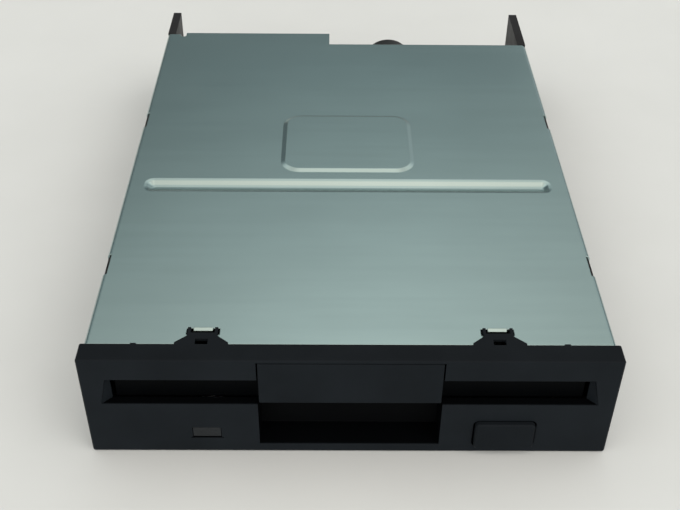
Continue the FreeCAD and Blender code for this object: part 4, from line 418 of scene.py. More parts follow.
def zinc_sheet(base, edge):
    """Satin cover sheet: cool grey zinc with rolling streaks and faint cloudy stains."""
    finish = Finish("cover_zinc", METAL)
    colour = finish.mottled(base, spread=0.05, scale=22.0, stretch=(1.0, 1.6, 1.0))
    finish.worn(low=0.245, high=0.275, scale=18.0, stretch=(0.4, 1.6, 1.0))
    finish.grained(scale=4200.0, depth=0.0004 * MM, stretch=(0.3, 1.4, 1.0), edge=edge)
    streaks = noise(finish.tree, STREAK_SCALE, STREAK_DETAIL, stretch=(0.05, 1.0, 1.0))
    streaks = between(finish.tree, streaks, 0.0, 1.0, start=0.35, stop=0.75)
    finish.link(mix(finish.tree, streaks, colour, STREAK_SHARES, "MULTIPLY"), "Base Color")
    return finish.material


def bezel_plastic(name, base, wear, edge):
    """Black moulded plastic, finely spark-eroded, with painted shade in the openings and on the
    top rim.
    """
    finish = Finish(name, {"Specular IOR Level": 0.03})
    # Painted shade in the front's openings and on its top rim
    finish.paint_front_shade(finish.mottled(base, spread=0.12, scale=90.0))
    finish.worn(*wear, scale=140.0)
    finish.grained(scale=3800.0, depth=0.010 * MM, edge=edge)
    return finish.material


def plated_sheet(name, base, stretch=ALONG_Y):
    """Bright zinc plating on pressed sheet."""
    finish = Finish(name, METAL)
    finish.mottled(base, spread=0.10, scale=85.0)
    finish.worn(low=0.22, high=0.42, scale=150.0, stretch=stretch)
    finish.grained(scale=1500.0, depth=0.003 * MM, stretch=stretch)
    return finish.material


def ground_steel(name, base, stretch=ALONG_Z):
    """Ground metal with fine marks in one direction."""
    finish = Finish(name, METAL)
    finish.mottled(base, spread=0.05, scale=130.0)
    finish.worn(low=0.10, high=0.24, scale=420.0, stretch=stretch)
    finish.grained(scale=2600.0, depth=0.0015 * MM, stretch=stretch)
    return finish.material


def solder_mask(base):
    """Green board: lighter tracks under a glossy mask."""
    finish = Finish("solder_mask", {"Coat Weight": 0.3})
    tracks = node(
        finish.tree, "ShaderNodeTexBrick",
        {
            "Scale": 150.0, "Brick Width": 0.9, "Row Height": 0.22,
            "Mortar Size": 0.09, "Mortar Smooth": 0.1,
            "Color1": opaque(shade(base, 0.9)), "Color2": opaque(shade(base, 1.15)),
            "Mortar": opaque(shade(base, 1.9)),
        },
        offset=0.37, squash=1.6, squash_frequency=3,
    )
    place = node(finish.tree, "ShaderNodeTexCoord")
    finish.tree.links.new(place.outputs["Object"], tracks.inputs["Vector"])
    finish.link(tracks.outputs["Color"], "Base Color")
    finish.worn(low=0.24, high=0.38, scale=200.0)
    bump = node(finish.tree, "ShaderNodeBump", {"Strength": 1.0, "Distance": 0.03 * MM})
    finish.tree.links.new(tracks.outputs["Fac"], bump.inputs["Height"])
    finish.link(bump.outputs["Normal"], "Normal")
    return finish.material


def dress(material, *names):
    """Gives CAD nodes a finish."""
    for name in names:
        slots = frame["nodes"][name].data.materials
        slots.clear()
        slots.append(material)


# Angles in degrees above which an edge stays sharp
SMOOTH_ANGLE = 35.0
ROUND_ANGLE = 50.0
CRISP_ANGLE = 30.0


def new_piece(name, form, materials, smooth_angle=SMOOTH_ANGLE):
    """Object from a finished bmesh; faces choose among the materials by their index."""
    mesh = bpy.data.meshes.new(name)
    bmesh.ops.recalc_face_normals(form, faces=form.faces)
    form.to_mesh(mesh)
    form.free()
    for material in materials:
        mesh.materials.append(material)
    mesh.shade_smooth()
    mesh.set_sharp_from_angle(angle=math.radians(smooth_angle))
    made = bpy.data.objects.new(name, mesh)
    bpy.context.scene.collection.objects.link(made)
    return made


def ring_of(form, centre, side, up, radius, count):
    """Vertices around a centre in the plane of side and up."""
    ring = []
    for i in range(count):
        turn = 2 * math.pi * i / count
        spoke = side * math.cos(turn) + up * math.sin(turn)
        ring.append(form.verts.new(centre + spoke * radius))
    return ring


def rectangle_of(form, low, high, z, inset=0.0):
    """Corner vertices of a level rectangle that is drawn in by inset on every side."""
    x0, x1, y0, y1 = low.x + inset, high.x - inset, low.y + inset, high.y - inset
    return [form.verts.new((x, y, z)) for x, y in ((x0, y0), (x1, y0), (x1, y1), (x0, y1))]


def bridge(form, first, second, material=0):
    """Faces between two rings of vertices."""
    count = len(first)
    for i in range(count):
        after = (i + 1) % count
        face = form.faces.new((first[i], first[after], second[after], second[i]))
        face.material_index = material


def loft(form, rings, material=0):
    """Closed skin through rings of vertices."""
    for first, second in zip(rings, rings[1:]):
        bridge(form, first, second, material)
    for ring in (rings[0], rings[-1]):
        form.faces.new(ring).material_index = material


WIRE_SIDES = 8
THIN_WIRE_SIDES = 6
COIL_STEPS = 14

# Eject springs: shares of the coil's radius, and turn of the nearly closed eyes
TAIL_SHARE = 4
EYE_SHARE = 0.62
EYE_TURN = 0.9


def tube(form, path, radius, count=WIRE_SIDES):
    """Round wire along a path."""
    rings = []
    side = (path[1] - path[0]).normalized().orthogonal().normalized()
    for i, point in enumerate(path):
        before = path[max(i - 1, 0)]
        after = path[min(i + 1, len(path) - 1)]
        ahead = (after - before).normalized()
        side = (side - ahead * side.dot(ahead)).normalized()
        rings.append(ring_of(form, point, side, ahead.cross(side), radius, count))
    loft(form, rings)


def coil(centre, axis, side, radius, rise, turns):
    """Points of a coil that starts at side and climbs along axis."""
    other = axis.cross(side)
    points = []
    total = round(turns * COIL_STEPS)
    for i in range(total + 1):
        turn = 2 * math.pi * i / COIL_STEPS
        spoke = side * math.cos(turn) + other * math.sin(turn)
        points.append(centre + axis * (rise * i / total) + spoke * radius)
    return points


def eject_spring(side, sizes, material):
    """Pulled coil with a straight tail and an eye at each end.
    """
    name = "eject_spring_" + side
    low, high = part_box(name)
    centre = (low + high) / 2
    wire = sizes.eject_wire / 2
    radius = (high.x - low.x) / 2 - wire
    tail = TAIL_SHARE * radius
    run = high.y - low.y - 2 * tail
    turns = round(run / sizes.eject_pitch)
    eye_r = radius * EYE_SHARE
    start = Vector((centre.x, low.y + tail, centre.z))
    front = Vector((centre.x, low.y + wire + eye_r, centre.z))
    rear = Vector((centre.x, high.y - wire - eye_r, centre.z))
    body = coil(start, AXIS_Y, AXIS_X, radius, run, turns)
    front_eye = coil(front, AXIS_Z, AXIS_Y, eye_r, 0.0, EYE_TURN)
    rear_eye = coil(rear, AXIS_Z, -AXIS_Y, eye_r, 0.0, EYE_TURN)
    form = bmesh.new()
    tube(form, front_eye[::-1] + body + rear_eye, wire)
    made = new_piece(name + "_coil", form, [material])
    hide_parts(name)
    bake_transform(made)


def latch_spring(sizes, material):
    """Torsion coil around the latch lever's pivot, with its fixed leg along the side."""
    low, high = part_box("latch_spring")
    pivot_low, pivot_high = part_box("latch_retainer")
    pivot = (pivot_low + pivot_high) / 2
    wire = sizes.torsion_wire / 2
    radius = pivot.x - low.x - wire
    base = Vector((pivot.x, pivot.y, low.z + wire))
    # The last half turn ends across the pivot from the leg
    turns = sizes.latch_turns + 0.5
    path = coil(base, AXIS_Z, -AXIS_X, radius, high.z - low.z - 2 * wire, turns)
    leg = Vector((pivot.x - radius, high.y - wire, low.z + wire))
    form = bmesh.new()
    tube(form, [leg] + path, wire)
    made = new_piece("latch_spring_coil", form, [material])
    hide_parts("latch_spring")
    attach(made, "chassis")


def door_spring(sizes, material):
    """Torsion coil on the door's hinge bar.

    One leg rests on the bezel, the other pushes the door's wing.
    """
    low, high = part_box("flap_spring")
    hinge = Vector(JOINTS["flap_swing"]["pos_m"])
    wire = sizes.torsion_wire / 2
    radius = high.y - hinge.y - wire
    start = Vector((low.x + wire, hinge.y, hinge.z))
    run = high.x - low.x - 2 * wire
    # The last quarter turn ends in front of the bar, where the second leg goes down
    path = coil(start, AXIS_X, AXIS_Z, radius, run, sizes.door_turns + 0.25)
    rest_leg = Vector((start.x, low.y + wire, hinge.z + radius))
    end = path[-1]
    push_leg = Vector((end.x, end.y, low.z + wire))
    form = bmesh.new()
    tube(form, [rest_leg] + path + [push_leg], wire, THIN_WIRE_SIDES)
    made = new_piece("door_spring_coil", form, [material])
    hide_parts("flap_spring")
    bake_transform(made)


SCREW_SIDES = 28
THREAD_STEPS = 20
# Tip of the lead screw: share of the screw's radius, and length
TIP_SHARE = 0.53
TIP_L = 1.65 * MM
# Half the width of the groove as a share of its lead
GROOVE_HALF = 0.2


def threaded_screw(sizes, material):
    """Lead screw with its one rounded groove and the thin tip that runs in the front bearing."""
    low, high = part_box("lead_screw")
    axis = Vector(JOINTS["screw_spin"]["pos_m"])
    radius = (high.x - low.x) / 2
    shoulder = low.y + TIP_L
    steps = round((high.y - shoulder) / sizes.thread_lead * THREAD_STEPS)
    form = bmesh.new()
    rings = []
    for y in (low.y, shoulder):
        centre = Vector((axis.x, y, axis.z))
        rings.append(ring_of(form, centre, AXIS_X, AXIS_Z, radius * TIP_SHARE, SCREW_SIDES))
    for i in range(steps + 1):
        y = shoulder + (high.y - shoulder) * i / steps
        centre = Vector((axis.x, y, axis.z))
        ring = ring_of(form, centre, AXIS_X, AXIS_Z, radius, SCREW_SIDES)
        for k, vertex in enumerate(ring):
            phase = ((y - shoulder) / sizes.thread_lead - k / SCREW_SIDES) % 1.0
            sunk = max(0.0, 1.0 - abs(phase - 0.5) / GROOVE_HALF)
            inward = (centre - vertex.co).normalized()
            vertex.co += inward * sizes.thread_depth * math.sin(sunk * math.pi / 2)
        rings.append(ring)
    loft(form, rings)
    made = new_piece("lead_screw_thread", form, [material], ROUND_ANGLE)
    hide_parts("lead_screw")
    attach(made, "screw")


FILM_T = 0.16 * MM
FILM_STEPS = 40
# Loop of the film cable: rise above its start, drop of the bend behind, and the shares of its
# run between which it rises
LOOP_RISE = 2.0 * MM
LOOP_BEND = 2.5 * MM
LOOP_START = 0.42
LOOP_TOP = 0.5


def bezier_chain(points, share):
    """Point at a share of the way along a smooth curve pulled by control points."""
    level = list(points)
    while len(level) > 1:
        level = [a.lerp(b, share) for a, b in zip(level, level[1:])]
    return level[0]


def head_cable(material):
    """Film cable from the carriage over a loop and down to the board."""
    low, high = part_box("head_flex")
    crest = high.z - FILM_T
    start_z = crest - LOOP_RISE
    run = high.y - low.y
    points = [
        Vector((0, low.y, start_z)),
        Vector((0, low.y + LOOP_START * run, start_z)),
        Vector((0, low.y + LOOP_TOP * run, crest)),
        Vector((0, high.y, crest)),
        Vector((0, high.y - FILM_T, crest - LOOP_BEND)),
        Vector((0, high.y - FILM_T, low.z)),
    ]
    path = [bezier_chain(points, i / FILM_STEPS) for i in range(FILM_STEPS + 1)]
    form = bmesh.new()
    sections = []
    for i, point in enumerate(path):
        ahead = path[min(i + 1, FILM_STEPS)] - path[max(i - 1, 0)]
        lift = AXIS_X.cross(ahead).normalized() * FILM_T
        left = Vector((low.x, point.y, point.z))
        right = Vector((high.x, point.y, point.z))
        corners = (left, right, right + lift, left + lift)
        sections.append([form.verts.new(corner) for corner in corners])
    loft(form, sections)
    made = new_piece("head_cable", form, [material], ROUND_ANGLE)
    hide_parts("head_flex")
    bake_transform(made)


HEAD_SIDES = 24
# Pan head: shares of its radius and of its height, from the foot up
HEAD_PROFILE = ((1.0, 0.0), (1.0, 0.42), (0.93, 0.75), (0.74, 1.0))
# Cross recess: reach and half width of its arms as shares of the head's radius, and size and
# height of its floor as shares of the rim's
CROSS_ARM = 0.52
CROSS_HALF = 0.13
RECESS_DRAFT = 0.8
RECESS_FLOOR = 0.4
# Degrees by which the first screw of a set is turned, and each next one more
FIRST_TURN = 23.0
NEXT_TURN = 37.0


def pan_head(form, place, radius, rise):
    """Pan-head screw with a cross recess; place takes its foot to the surface it sits on."""
    side = place.to_3x3() @ AXIS_X
    up = place.to_3x3() @ AXIS_Y
    rings = []
    for share, height in HEAD_PROFILE:
        centre = place @ Vector((0, 0, rise * height))
        rings.append(ring_of(form, centre, side, up, radius * share, HEAD_SIDES))
    for first, second in zip(rings, rings[1:]):
        bridge(form, first, second)
    form.faces.new(rings[0])
    arm = radius * CROSS_ARM
    half = radius * CROSS_HALF
    cross = [(half, half), (half, arm), (-half, arm), (-half, half), (-arm, half), (-arm, -half)]
    cross += [(-x, -y) for x, y in cross]
    loops = []
    for draft, height in ((1.0, 1.0), (RECESS_DRAFT, RECESS_FLOOR)):
        corners = [place @ Vector((x * draft, y * draft, rise * height)) for x, y in cross]
        loops.append([form.verts.new(corner) for corner in corners])
    rim, floor = loops
    bridge(form, rim, floor)
    form.faces.new(floor)
    edges = []
    for loop in (rings[-1], rim):
        for pair in zip(loop, loop[1:] + loop[:1]):
            edges.append(form.edges.get(pair) or form.edges.new(pair))
    bmesh.ops.triangle_fill(form, use_beauty=True, use_dissolve=False, edges=edges)


def screws(name, places, down, sizes, material, scale=1.0):
    """Pan-head screws of one kind on the chassis; down turns their heads to the floor."""
    form = bmesh.new()
    turn = Matrix.Rotation(math.pi, 4, "X") if down else Matrix.Identity(4)
    for i, place in enumerate(places):
        slot_turn = Matrix.Rotation(math.radians(FIRST_TURN + NEXT_TURN * i), 4, "Z")
        seat = Matrix.Translation(place) @ turn @ slot_turn
        pan_head(form, seat, sizes.head_r * scale, sizes.head_rise * scale)
    made = new_piece(name, form, [material])
    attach(made, "chassis")


# Leads of the chips: reach, thickness, width as a share of the pitch, and the shares of the
# reach where they bend
LEAD_REACH = 1.2 * MM
LEAD_T = 0.12 * MM
LEAD_SHARE = 0.45
LEAD_KNEES = (0.35, 0.55)
# Gap between body and board, slope of the flanks, and what the leads leave free at a corner
CHIP_GAP = 0.1 * MM
CHIP_SLOPE = 0.12 * MM
CHIP_CORNER = 0.6 * MM
# Places of the materials on a piece of the circuit
BODY_SLOT = 0
SOLDER_SLOT = 1


def gull_lead(form, root, out, across, foot_z, width):
    """Bent chip lead from the body's side out and on to the board."""
    knee, heel = LEAD_KNEES
    loops = []
    for share, z in ((0.0, root.z), (knee, root.z), (heel, foot_z), (1.0, foot_z)):
        spot = root + out * (LEAD_REACH * share)
        left, right = spot - across * (width / 2), spot + across * (width / 2)
        corners = ((left, z - LEAD_T), (right, z - LEAD_T), (right, z), (left, z))
        loops.append([form.verts.new((corner.x, corner.y, level)) for corner, level in corners])
    loft(form, loops, SOLDER_SLOT)


def chip(name, sides, count, epoxy, solder):
    """Chip under a board: body with sloped flanks, and bent leads on two or four sides."""
    low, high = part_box(name)
    inset = Vector((LEAD_REACH if sides == 4 else 0.0, LEAD_REACH, 0.0))
    body_low = low + inset
    body_high = high - inset - AXIS_Z * CHIP_GAP
    centre = (body_low + body_high) / 2
    half = body_high - centre
    form = bmesh.new()
    profile = ((body_low.z, CHIP_SLOPE), (centre.z, 0.0), (body_high.z, CHIP_SLOPE))
    rings = [rectangle_of(form, body_low, body_high, z, slope) for z, slope in profile]
    loft(form, rings, BODY_SLOT)
    walls = ((AXIS_Y, AXIS_X), (-AXIS_Y, AXIS_X), (AXIS_X, AXIS_Y), (-AXIS_X, AXIS_Y))
    for out, across in walls[:sides]:
        distance = abs(out.dot(half))
        pitch = 2 * (across.dot(half) - CHIP_CORNER) / count
        for i in range(count):
            root = centre + out * distance + across * ((i - (count - 1) / 2) * pitch)
            gull_lead(form, root, out, across, high.z, pitch * LEAD_SHARE)
    made = new_piece(name + "_body", form, [epoxy, solder], CRISP_ANGLE)
    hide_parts(name)
    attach(made, "chassis")


# Pins in a row, and rows, of each connector
PIN_ROWS = (("signal_pins", 17, 2), ("power_pins", 4, 1))
PIN_PITCH = 2.54 * MM
# First row of pins behind the front of the signal header
FIRST_ROW = 1.4 * MM
# Solder joints: radii at the foot and tip, height, and shares of the height with a ring
JOINT_FOOT = 0.85 * MM
JOINT_TIP = 0.3 * MM
JOINT_H = 0.9 * MM
JOINT_SHARES = (0.0, 0.35, 0.7, 1.0)
JOINT_SIDES = 10


def solder_joint(form, centre):
    """Hanging solder cone with a hollow flank."""
    rings = []
    for share in JOINT_SHARES:
        radius = JOINT_TIP + (JOINT_FOOT - JOINT_TIP) * (1.0 - share) ** 2
        level = centre - AXIS_Z * (JOINT_H * share)
        rings.append(ring_of(form, level, AXIS_X, AXIS_Y, radius, JOINT_SIDES))
    loft(form, rings)


def solder_joints(material):
    """Rows of solder cones under the board where the connectors' pins come through."""
    board_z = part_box("control_board")[0].z
    header_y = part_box("signal_header")[0].y
    form = bmesh.new()
    for name, columns, rows in PIN_ROWS:
        low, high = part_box(name)
        for column in range(columns):
            x = low.x + (high.x - low.x) * (column + 0.5) / columns
            for row in range(rows):
                y = header_y + FIRST_ROW + PIN_PITCH * row
                solder_joint(form, Vector((x, y, board_z)))
    made = new_piece("solder_joints", form, [material])
    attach(made, "chassis")


# Small board parts: length, width and height, length of the end caps, and the body's share of
# the width and its step from the caps
PART_L = 1.7 * MM
PART_W = 0.9 * MM
PART_H = 0.5 * MM
PART_CAP = 0.22 * PART_L
PART_WAIST = 0.94
PART_STEP = 0.02 * MM
# Two rows to the right of the controller: parts in a row, first place, step, and how far in
# from its front and rear sides
ROW_PARTS = 9
ROW_START = 5.0 * MM
ROW_STEP = 3.4 * MM
ROW_FRONT = 2.0 * MM
ROW_REAR = 1.0 * MM
# Staggered parts to its left: number, first place, stagger and step
LEFT_PARTS = 5
LEFT_START = 4.0 * MM
LEFT_STAGGER = 3.2 * MM
LEFT_STEP = 3.0 * MM


def small_parts(body, solder):
    """Small resistors and capacitors under the board, in rows beside the controller."""
    board_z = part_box("control_board")[0].z
    chip_low, chip_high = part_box("controller_chip")
    spots = []
    for i in range(ROW_PARTS):
        x = chip_high.x + ROW_START + ROW_STEP * i
        spots += [(x, chip_low.y + ROW_FRONT), (x, chip_high.y - ROW_REAR)]
    for i in range(LEFT_PARTS):
        x = chip_low.x - LEFT_START - LEFT_STAGGER * (i % 2)
        spots.append((x, chip_low.y + LEFT_STEP * i))
    end = PART_L / 2
    inner = end - PART_CAP
    waist = PART_W * PART_WAIST
    blocks = (
        (-end, -inner, PART_W, PART_H, SOLDER_SLOT),
        (-inner, inner, waist, PART_H - PART_STEP, BODY_SLOT),
        (inner, end, PART_W, PART_H, SOLDER_SLOT),
    )
    form = bmesh.new()
    for x, y in spots:
        for left, right, width, height, material in blocks:
            low = Vector((x + left, y - width / 2, board_z - height))
            high = Vector((x + right, y + width / 2, board_z))
            loft(form, [rectangle_of(form, low, high, z) for z in (low.z, high.z)], material)
    made = new_piece("board_small_parts", form, [body, solder], CRISP_ANGLE)
    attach(made, "chassis")


class DRIVE_OT_cover(bpy.types.Operator):
    """Give the pressed cover its zinc-coated steel"""

    bl_idname = "drive.cover"
    bl_label = "Cover"

    def execute(self, context):
        scene = context.scene
        dress(zinc_sheet(scene.drive_colours.cover, scene.drive_sizes.edge), "top_cover")
        return {"FINISHED"}


# Node and finish of each moulding of the front, share of the bezel's colour, and roughness
FRONT = (
    ("front_bezel", "bezel_black", 1.0, (0.36, 0.50)),
    ("door_flap", "door_black", 0.95, (0.40, 0.54)),
    ("eject_button", "button_black", 0.84, (0.34, 0.48)),
)


class DRIVE_OT_bezel(bpy.types.Operator):
    """Give the bezel, door, button and lamp their plastics"""

    bl_idname = "drive.bezel"
    bl_label = "Bezel, door, button and lamp"

    def execute(self, context):
        colours = context.scene.drive_colours
        edge = context.scene.drive_sizes.edge
        for name, finish, share, wear in FRONT:
            dress(bezel_plastic(finish, shade(colours.bezel, share), wear, edge), name)
        dress(plain_finish("smoked_lens", colours.lamp, edge), "activity_lamp")
        return {"FINISHED"}


class DRIVE_OT_frame(bpy.types.Operator):
    """Give the moulded frame, rails, switch housings and signal header their resin"""

    bl_idname = "drive.frame"
    bl_label = "Frame and rails"

    def execute(self, context):
        colours = context.scene.drive_colours
        resin = plain_finish("frame_black", colours.frame, context.scene.drive_sizes.edge)
        dress(resin, "main_frame", "side_rail_left", "side_rail_right")
        dress(resin, "sensing_switches", "signal_header")
        return {"FINISHED"}


class DRIVE_OT_loading(bpy.types.Operator):
    """Finish the slider, disk holder, latch lever, switch plungers and power header"""

    bl_idname = "drive.loading"
    bl_label = "Loading mechanism"

    def execute(self, context):
        colours = context.scene.drive_colours
        slider = plated_sheet("slider_plating", colours.sheet)
        dress(slider, "slider_plate", "latch_lever", "latch_retainer")
        dress(plated_sheet("holder_plating", colours.sheet, ALONG_X), "disk_holder")
        dress(ground_steel("guide_pin_steel", colours.bright, ALONG_X), "holder_pins")
        plungers = ("write_protect_plunger", "disk_in_plunger", "density_plunger")
        dress(plain_finish("white_acetal", colours.acetal), *plungers, "power_header")
        return {"FINISHED"}


class DRIVE_OT_springs(bpy.types.Operator):
    """Wind the eject springs, the latch spring and the door spring, and finish other wire"""

    bl_idname = "drive.springs"
    bl_label = "Springs"

    def execute(self, context):
        sizes = context.scene.drive_sizes
        wire = plain_finish("spring_wire", context.scene.drive_colours.wire)
        dress(wire, "rod_clamps", "arm_spring", "screw_follower", "lamp_leads")
        for side in ("left", "right"):
            eject_spring(side, sizes, wire)
        latch_spring(sizes, wire)
        door_spring(sizes, wire)
        return {"FINISHED"}


# Share of the sheet's colour on the motor's base plate
PLATE_SHARE = 0.8


class DRIVE_OT_spindle(bpy.types.Operator):
    """Finish the spindle motor, the bearings and the chucking hub"""

    bl_idname = "drive.spindle"
    bl_label = "Spindle motor"

    def execute(self, context):
        colours = context.scene.drive_colours
        plate = shade(colours.sheet, PLATE_SHARE)
        dress(plated_sheet("rotor_plating", colours.sheet, (1.0, 1.0, 0.2)), "rotor_cup")
        dress(plated_sheet("motor_plate_plating", plate, (0.2, 1.0, 1.0)), "motor_plate")
        hub = ground_steel("hub_steel", colours.bright)
        dress(hub, "chucking_hub", "spindle_shaft", "drive_pin")
        bronze = plain_finish("sintered_bronze", colours.bronze)
        dress(bronze, "spindle_bearing", "screw_bearing")
        dress(plain_finish("ferrite", colours.magnet), "rotor_magnet")
        dress(plain_finish("stacked_sheets", colours.iron), "stator_core")
        dress(plain_finish("copper_winding", colours.copper), "stator_coils")
        return {"FINISHED"}


class DRIVE_OT_positioner(bpy.types.Operator):
    """Finish the head carriage and stepper, cut the lead screw's thread and lay the film cable"""

    bl_idname = "drive.positioner"
    bl_label = "Head positioner"

    def execute(self, context):
        colours = context.scene.drive_colours
        sizes = context.scene.drive_sizes
        bar = ground_steel("guide_bar_steel", colours.bright, ALONG_Y)
        dress(bar, "guide_rod")
        dress(plain_finish("filled_resin", colours.carriage), "head_carriage", "upper_arm")
        dress(plain_finish("ground_ceramic", colours.ceramic), "lower_head", "upper_head")
        dress(plated_sheet("bracket_plating", colours.sheet), "stepper_bracket")
        dress(plain_finish("blackened_can", colours.can, sizes.edge), "stepper_can")
        threaded_screw(sizes, bar)
        head_cable(plain_finish("cable_film", colours.film))
        return {"FINISHED"}


class DRIVE_OT_circuit(bpy.types.Operator):
    """Finish the board and its connectors, and make the chips, small parts and solder joints"""

    bl_idname = "drive.circuit"
    bl_label = "Circuit"

    def execute(self, context):
        colours = context.scene.drive_colours
        sizes = context.scene.drive_sizes
        epoxy = plain_finish("chip_epoxy", colours.chip)
        solder = plated_sheet("solder", colours.solder)
        dress(solder_mask(colours.board), "control_board")
        dress(ground_steel("pin_gold", colours.gold), "signal_pins", "power_pins")
        dress(plain_finish("capacitor_epoxy", colours.capacitor), "capacitors")
        dress(epoxy, "track_sensor")
        chip("controller_chip", 4, sizes.chip_leads, epoxy, solder)
        chip("driver_chip", 2, sizes.driver_leads, epoxy, solder)
        solder_joints(solder)
        small_parts(epoxy, solder)
        return {"FINISHED"}


# Screws, in from the edges of what they hold; the small ones as shares of the others
CLAMP_IN_X = 1.45 * MM
CLAMP_IN_Y = 1.5 * MM
CLAMP_SCALE = 0.6
BRACKET_IN = 2.25 * MM
BRACKET_FRONT = 7.0 * MM
BRACKET_REAR = 8.0 * MM
BRACKET_SCALE = 0.9
# Top of the bracket's foot above the underside of the frame
BRACKET_RISE = 7.6 * MM
PLATE_IN = 5.0 * MM
# The plate's rear screws are this many times further in from its sides
PLATE_REAR = 2.4
BOARD_IN = 4.4 * MM
BOARD_REAR = 21.0 * MM


class DRIVE_OT_screws(bpy.types.Operator):
    """Set the pan-head screws of the rod clamps, stepper bracket, motor plate and board"""

    bl_idname = "drive.screws"
    bl_label = "Screws"

    def execute(self, context):
        sizes = context.scene.drive_sizes
        steel = ground_steel("screw_steel", context.scene.drive_colours.bright)

        low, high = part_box("rod_clamps")
        x = low.x + CLAMP_IN_X
        places = [Vector((x, y, high.z)) for y in (low.y + CLAMP_IN_Y, high.y - CLAMP_IN_Y)]
        screws("clamp_screws", places, False, sizes, steel, CLAMP_SCALE)

        low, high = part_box("stepper_bracket")
        x = high.x - BRACKET_IN
        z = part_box("main_frame")[0].z + BRACKET_RISE
        places = [Vector((x, y, z)) for y in (low.y + BRACKET_FRONT, high.y - BRACKET_REAR)]
        screws("bracket_screws", places, False, sizes, steel, BRACKET_SCALE)

        low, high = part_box("motor_plate")
        places = []
        for y, inset in ((low.y + PLATE_IN, PLATE_IN), (high.y - PLATE_IN, PLATE_REAR * PLATE_IN)):
            places += [Vector((x, y, low.z)) for x in (low.x + inset, high.x - inset)]
        screws("motor_plate_screws", places, True, sizes, steel)

        low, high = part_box("control_board")
        places = []
        for x in (low.x + BOARD_IN, high.x - BOARD_IN):
            places += [Vector((x, low.y + inset, low.z)) for inset in (BOARD_IN, BOARD_REAR)]
        screws("board_screws", places, True, sizes, steel)
        return {"FINISHED"}


# Tones of the sky from its pale foot up, by height once the sky is leaned
SKY_TONES = (
    (-0.45, (0.355, 0.355, 0.338)),
    (-0.33, (0.355, 0.355, 0.338)),
    (-0.21, (0.045, 0.054, 0.058)),
    (-0.05, (0.060, 0.076, 0.084)),
    (0.045, (0.108, 0.134, 0.144)),
    (0.14, (0.193, 0.229, 0.238)),
    (0.314, (0.600, 0.608, 0.597)),
    (0.70, (0.790, 0.748, 0.695)),
    (1.0, (1.0, 0.87, 0.78)),
)
# Shares of those tones by distance to the left or right of the middle
SKY_SIDES = (
    (0.0, 1.0), (0.06, 0.99), (0.14, 0.89), (0.24, 0.66), (0.32, 0.60), (0.46, 1.0), (1.0, 1.0)
)
# The middle of the sides stands this far to the right
SKY_TURN = 0.02
# Leaned heights between which the sides set in above the foot
SKY_EDGE = (-0.3, -0.2)
# Lean towards the front and the right
SKY_LEAN = (math.radians(-25.0), math.radians(-8.0), 0.0)
SKY_STRENGTH = 2.0


def ramp(tree, factor, stops):
    """Tones along a factor; stops pair their places with them, from 0 to 1."""
    made = node(tree, "ShaderNodeValToRGB")
    elements = made.color_ramp.elements
    for element, (_, tone) in zip(elements, (stops[0], stops[-1])):
        element.color = opaque(tone)
    for place, tone in stops[1:-1]:
        elements.new(place).color = opaque(tone)
    tree.links.new(factor, made.inputs["Fac"])
    return made.outputs["Color"]


def sky(tree):
    """Soft studio sky: bright and warm overhead and in front, dim low down behind.

    It leans a little to the right, has a pale foot and is dimmer on both sides of the middle.
    """
    tree.nodes.clear()
    place = node(tree, "ShaderNodeTexCoord")
    lean = node(tree, "ShaderNodeMapping", {"Rotation": SKY_LEAN})
    background = node(tree, "ShaderNodeBackground", {"Strength": SKY_STRENGTH})
    output = node(tree, "ShaderNodeOutputWorld")
    tree.links.new(place.outputs["Generated"], lean.inputs["Vector"])
    height = axes(tree, lean.outputs["Vector"])["Z"]
    x = axes(tree, place.outputs["Generated"])["X"]

    foot = SKY_TONES[0][0]
    stops = [((level - foot) / (1.0 - foot), tone) for level, tone in SKY_TONES]
    tones = ramp(tree, between(tree, height, 0.0, 1.0, foot, 1.0), stops)
    across = between(tree, x, -1.0 - SKY_TURN, 1.0 - SKY_TURN, -1.0, 1.0)
    greys = [(distance, (share,) * 3) for distance, share in SKY_SIDES]
    sides = ramp(tree, math_node(tree, "ABSOLUTE", across), greys)
    above = between(tree, height, 0.0, 1.0, *SKY_EDGE)
    tones = mix(tree, above, tones, sides, "MULTIPLY")
    tree.links.new(tones, background.inputs["Color"])
    tree.links.new(background.outputs["Background"], output.inputs["Surface"])


# Place, target and diameter of each soft light, in metres
LIGHTS = {
    "key": ((0.45, -0.45, 0.7), (0, 0, 0.02), 0.5),
    "side": ((0.45, 0.92, 0.36), (0, 0, 0.02), 0.45),
    "fill": ((-0.15, -0.95, 0.24), (0, -0.05, 0.01), 0.7),
}
FLOOR_R = 3.0
FLOOR_SIDES = 64
# Width of the camera's frame in millimetres, and the nearest that it sees
SENSOR_W = 36.0
CLIP_START = 10.0 * MM


def soft_light(name, power):
    """Round area light that looks at its target."""
    place, target, size = LIGHTS[name]
    lamp = bpy.data.lights.new(name + "_light", "AREA")
    lamp.shape = "DISK"
    lamp.size = size
    lamp.energy = power
    made = bpy.data.objects.new(name + "_light", lamp)
    made.location = place
    made.rotation_euler = (Vector(target) - Vector(place)).to_track_quat("-Z", "Y").to_euler()
    bpy.context.scene.collection.objects.link(made)


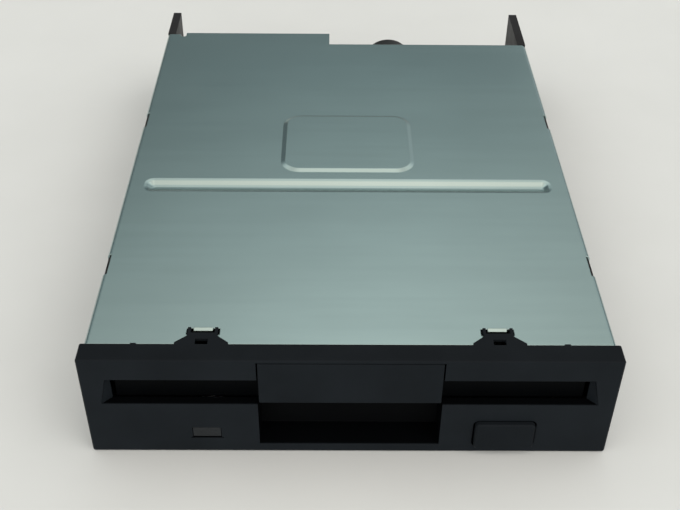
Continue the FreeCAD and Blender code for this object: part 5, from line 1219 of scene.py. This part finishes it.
def new_camera(view):
    """Camera that stands and looks as the view's properties say."""
    flat = math.cos(view.elevation)
    back = Vector((
        math.sin(view.azimuth) * flat, -math.cos(view.azimuth) * flat, math.sin(view.elevation)
    ))
    level = Vector((math.cos(view.azimuth), math.sin(view.azimuth), 0))
    rise = back.cross(level)
    right = level * math.cos(view.roll) + rise * math.sin(view.roll)
    up = rise * math.cos(view.roll) - level * math.sin(view.roll)
    lens = bpy.data.cameras.new("camera")
    lens.lens = view.lens
    lens.sensor_width = SENSOR_W
    lens.clip_start = CLIP_START
    camera = bpy.data.objects.new("camera", lens)
    turn = Matrix((right, up, back)).transposed().to_4x4()
    camera.matrix_world = Matrix.Translation(Vector(view.place)) @ turn
    bpy.context.scene.collection.objects.link(camera)
    return camera


class DRIVE_OT_stage(bpy.types.Operator):
    """Set the floor, the light and the camera at the photograph's angle"""

    bl_idname = "drive.stage"
    bl_label = "Stage"

    def execute(self, context):
        scene = context.scene
        view = scene.drive_view
        scene.view_settings.view_transform = "Standard"
        form = bmesh.new()
        form.faces.new(ring_of(form, Vector(), AXIS_X, AXIS_Y, FLOOR_R, FLOOR_SIDES))
        finish = plain_finish("pale_floor", scene.drive_colours.floor)
        floor = new_piece("floor", form, [finish])
        world = bpy.data.worlds.new("studio")
        world.use_nodes = True
        scene.world = world
        sky(world.node_tree)
        for name in LIGHTS:
            soft_light(name, getattr(view, name))
        scene.camera = new_camera(view)
        return {"FINISHED"}


STEPS = (
    DRIVE_OT_cover,
    DRIVE_OT_bezel,
    DRIVE_OT_frame,
    DRIVE_OT_loading,
    DRIVE_OT_springs,
    DRIVE_OT_spindle,
    DRIVE_OT_positioner,
    DRIVE_OT_circuit,
    DRIVE_OT_screws,
    DRIVE_OT_stage,
)


class DRIVE_PT_dressing(bpy.types.Panel):
    """Steps that dress the drive, with their colours and sizes"""

    bl_idname = "DRIVE_PT_dressing"
    bl_label = "Floppy Disk Drive"
    bl_space_type = "VIEW_3D"
    bl_region_type = "UI"
    bl_category = "Drive"

    def draw(self, context):
        layout = self.layout
        scene = context.scene
        for step in STEPS:
            layout.operator(step.bl_idname)
        for group in (scene.drive_colours, scene.drive_sizes, scene.drive_view):
            box = layout.box()
            for name in group.__annotations__:
                box.prop(group, name)


CLASSES = (DriveColours, DriveSizes, DriveView) + STEPS + (DRIVE_PT_dressing,)


def register():
    for cls in CLASSES:
        bpy.utils.register_class(cls)
    bpy.types.Scene.drive_colours = PointerProperty(type=DriveColours)
    bpy.types.Scene.drive_sizes = PointerProperty(type=DriveSizes)
    bpy.types.Scene.drive_view = PointerProperty(type=DriveView)


def unregister():
    del bpy.types.Scene.drive_view
    del bpy.types.Scene.drive_sizes
    del bpy.types.Scene.drive_colours
    for cls in reversed(CLASSES):
        bpy.utils.unregister_class(cls)


def main():
    register()
    bpy.ops.drive.cover()
    bpy.ops.drive.bezel()
    bpy.ops.drive.frame()
    bpy.ops.drive.loading()
    bpy.ops.drive.springs()
    bpy.ops.drive.spindle()
    bpy.ops.drive.positioner()
    bpy.ops.drive.circuit()
    bpy.ops.drive.screws()
    bpy.ops.drive.stage()


if __name__ == "__main__":
    main()
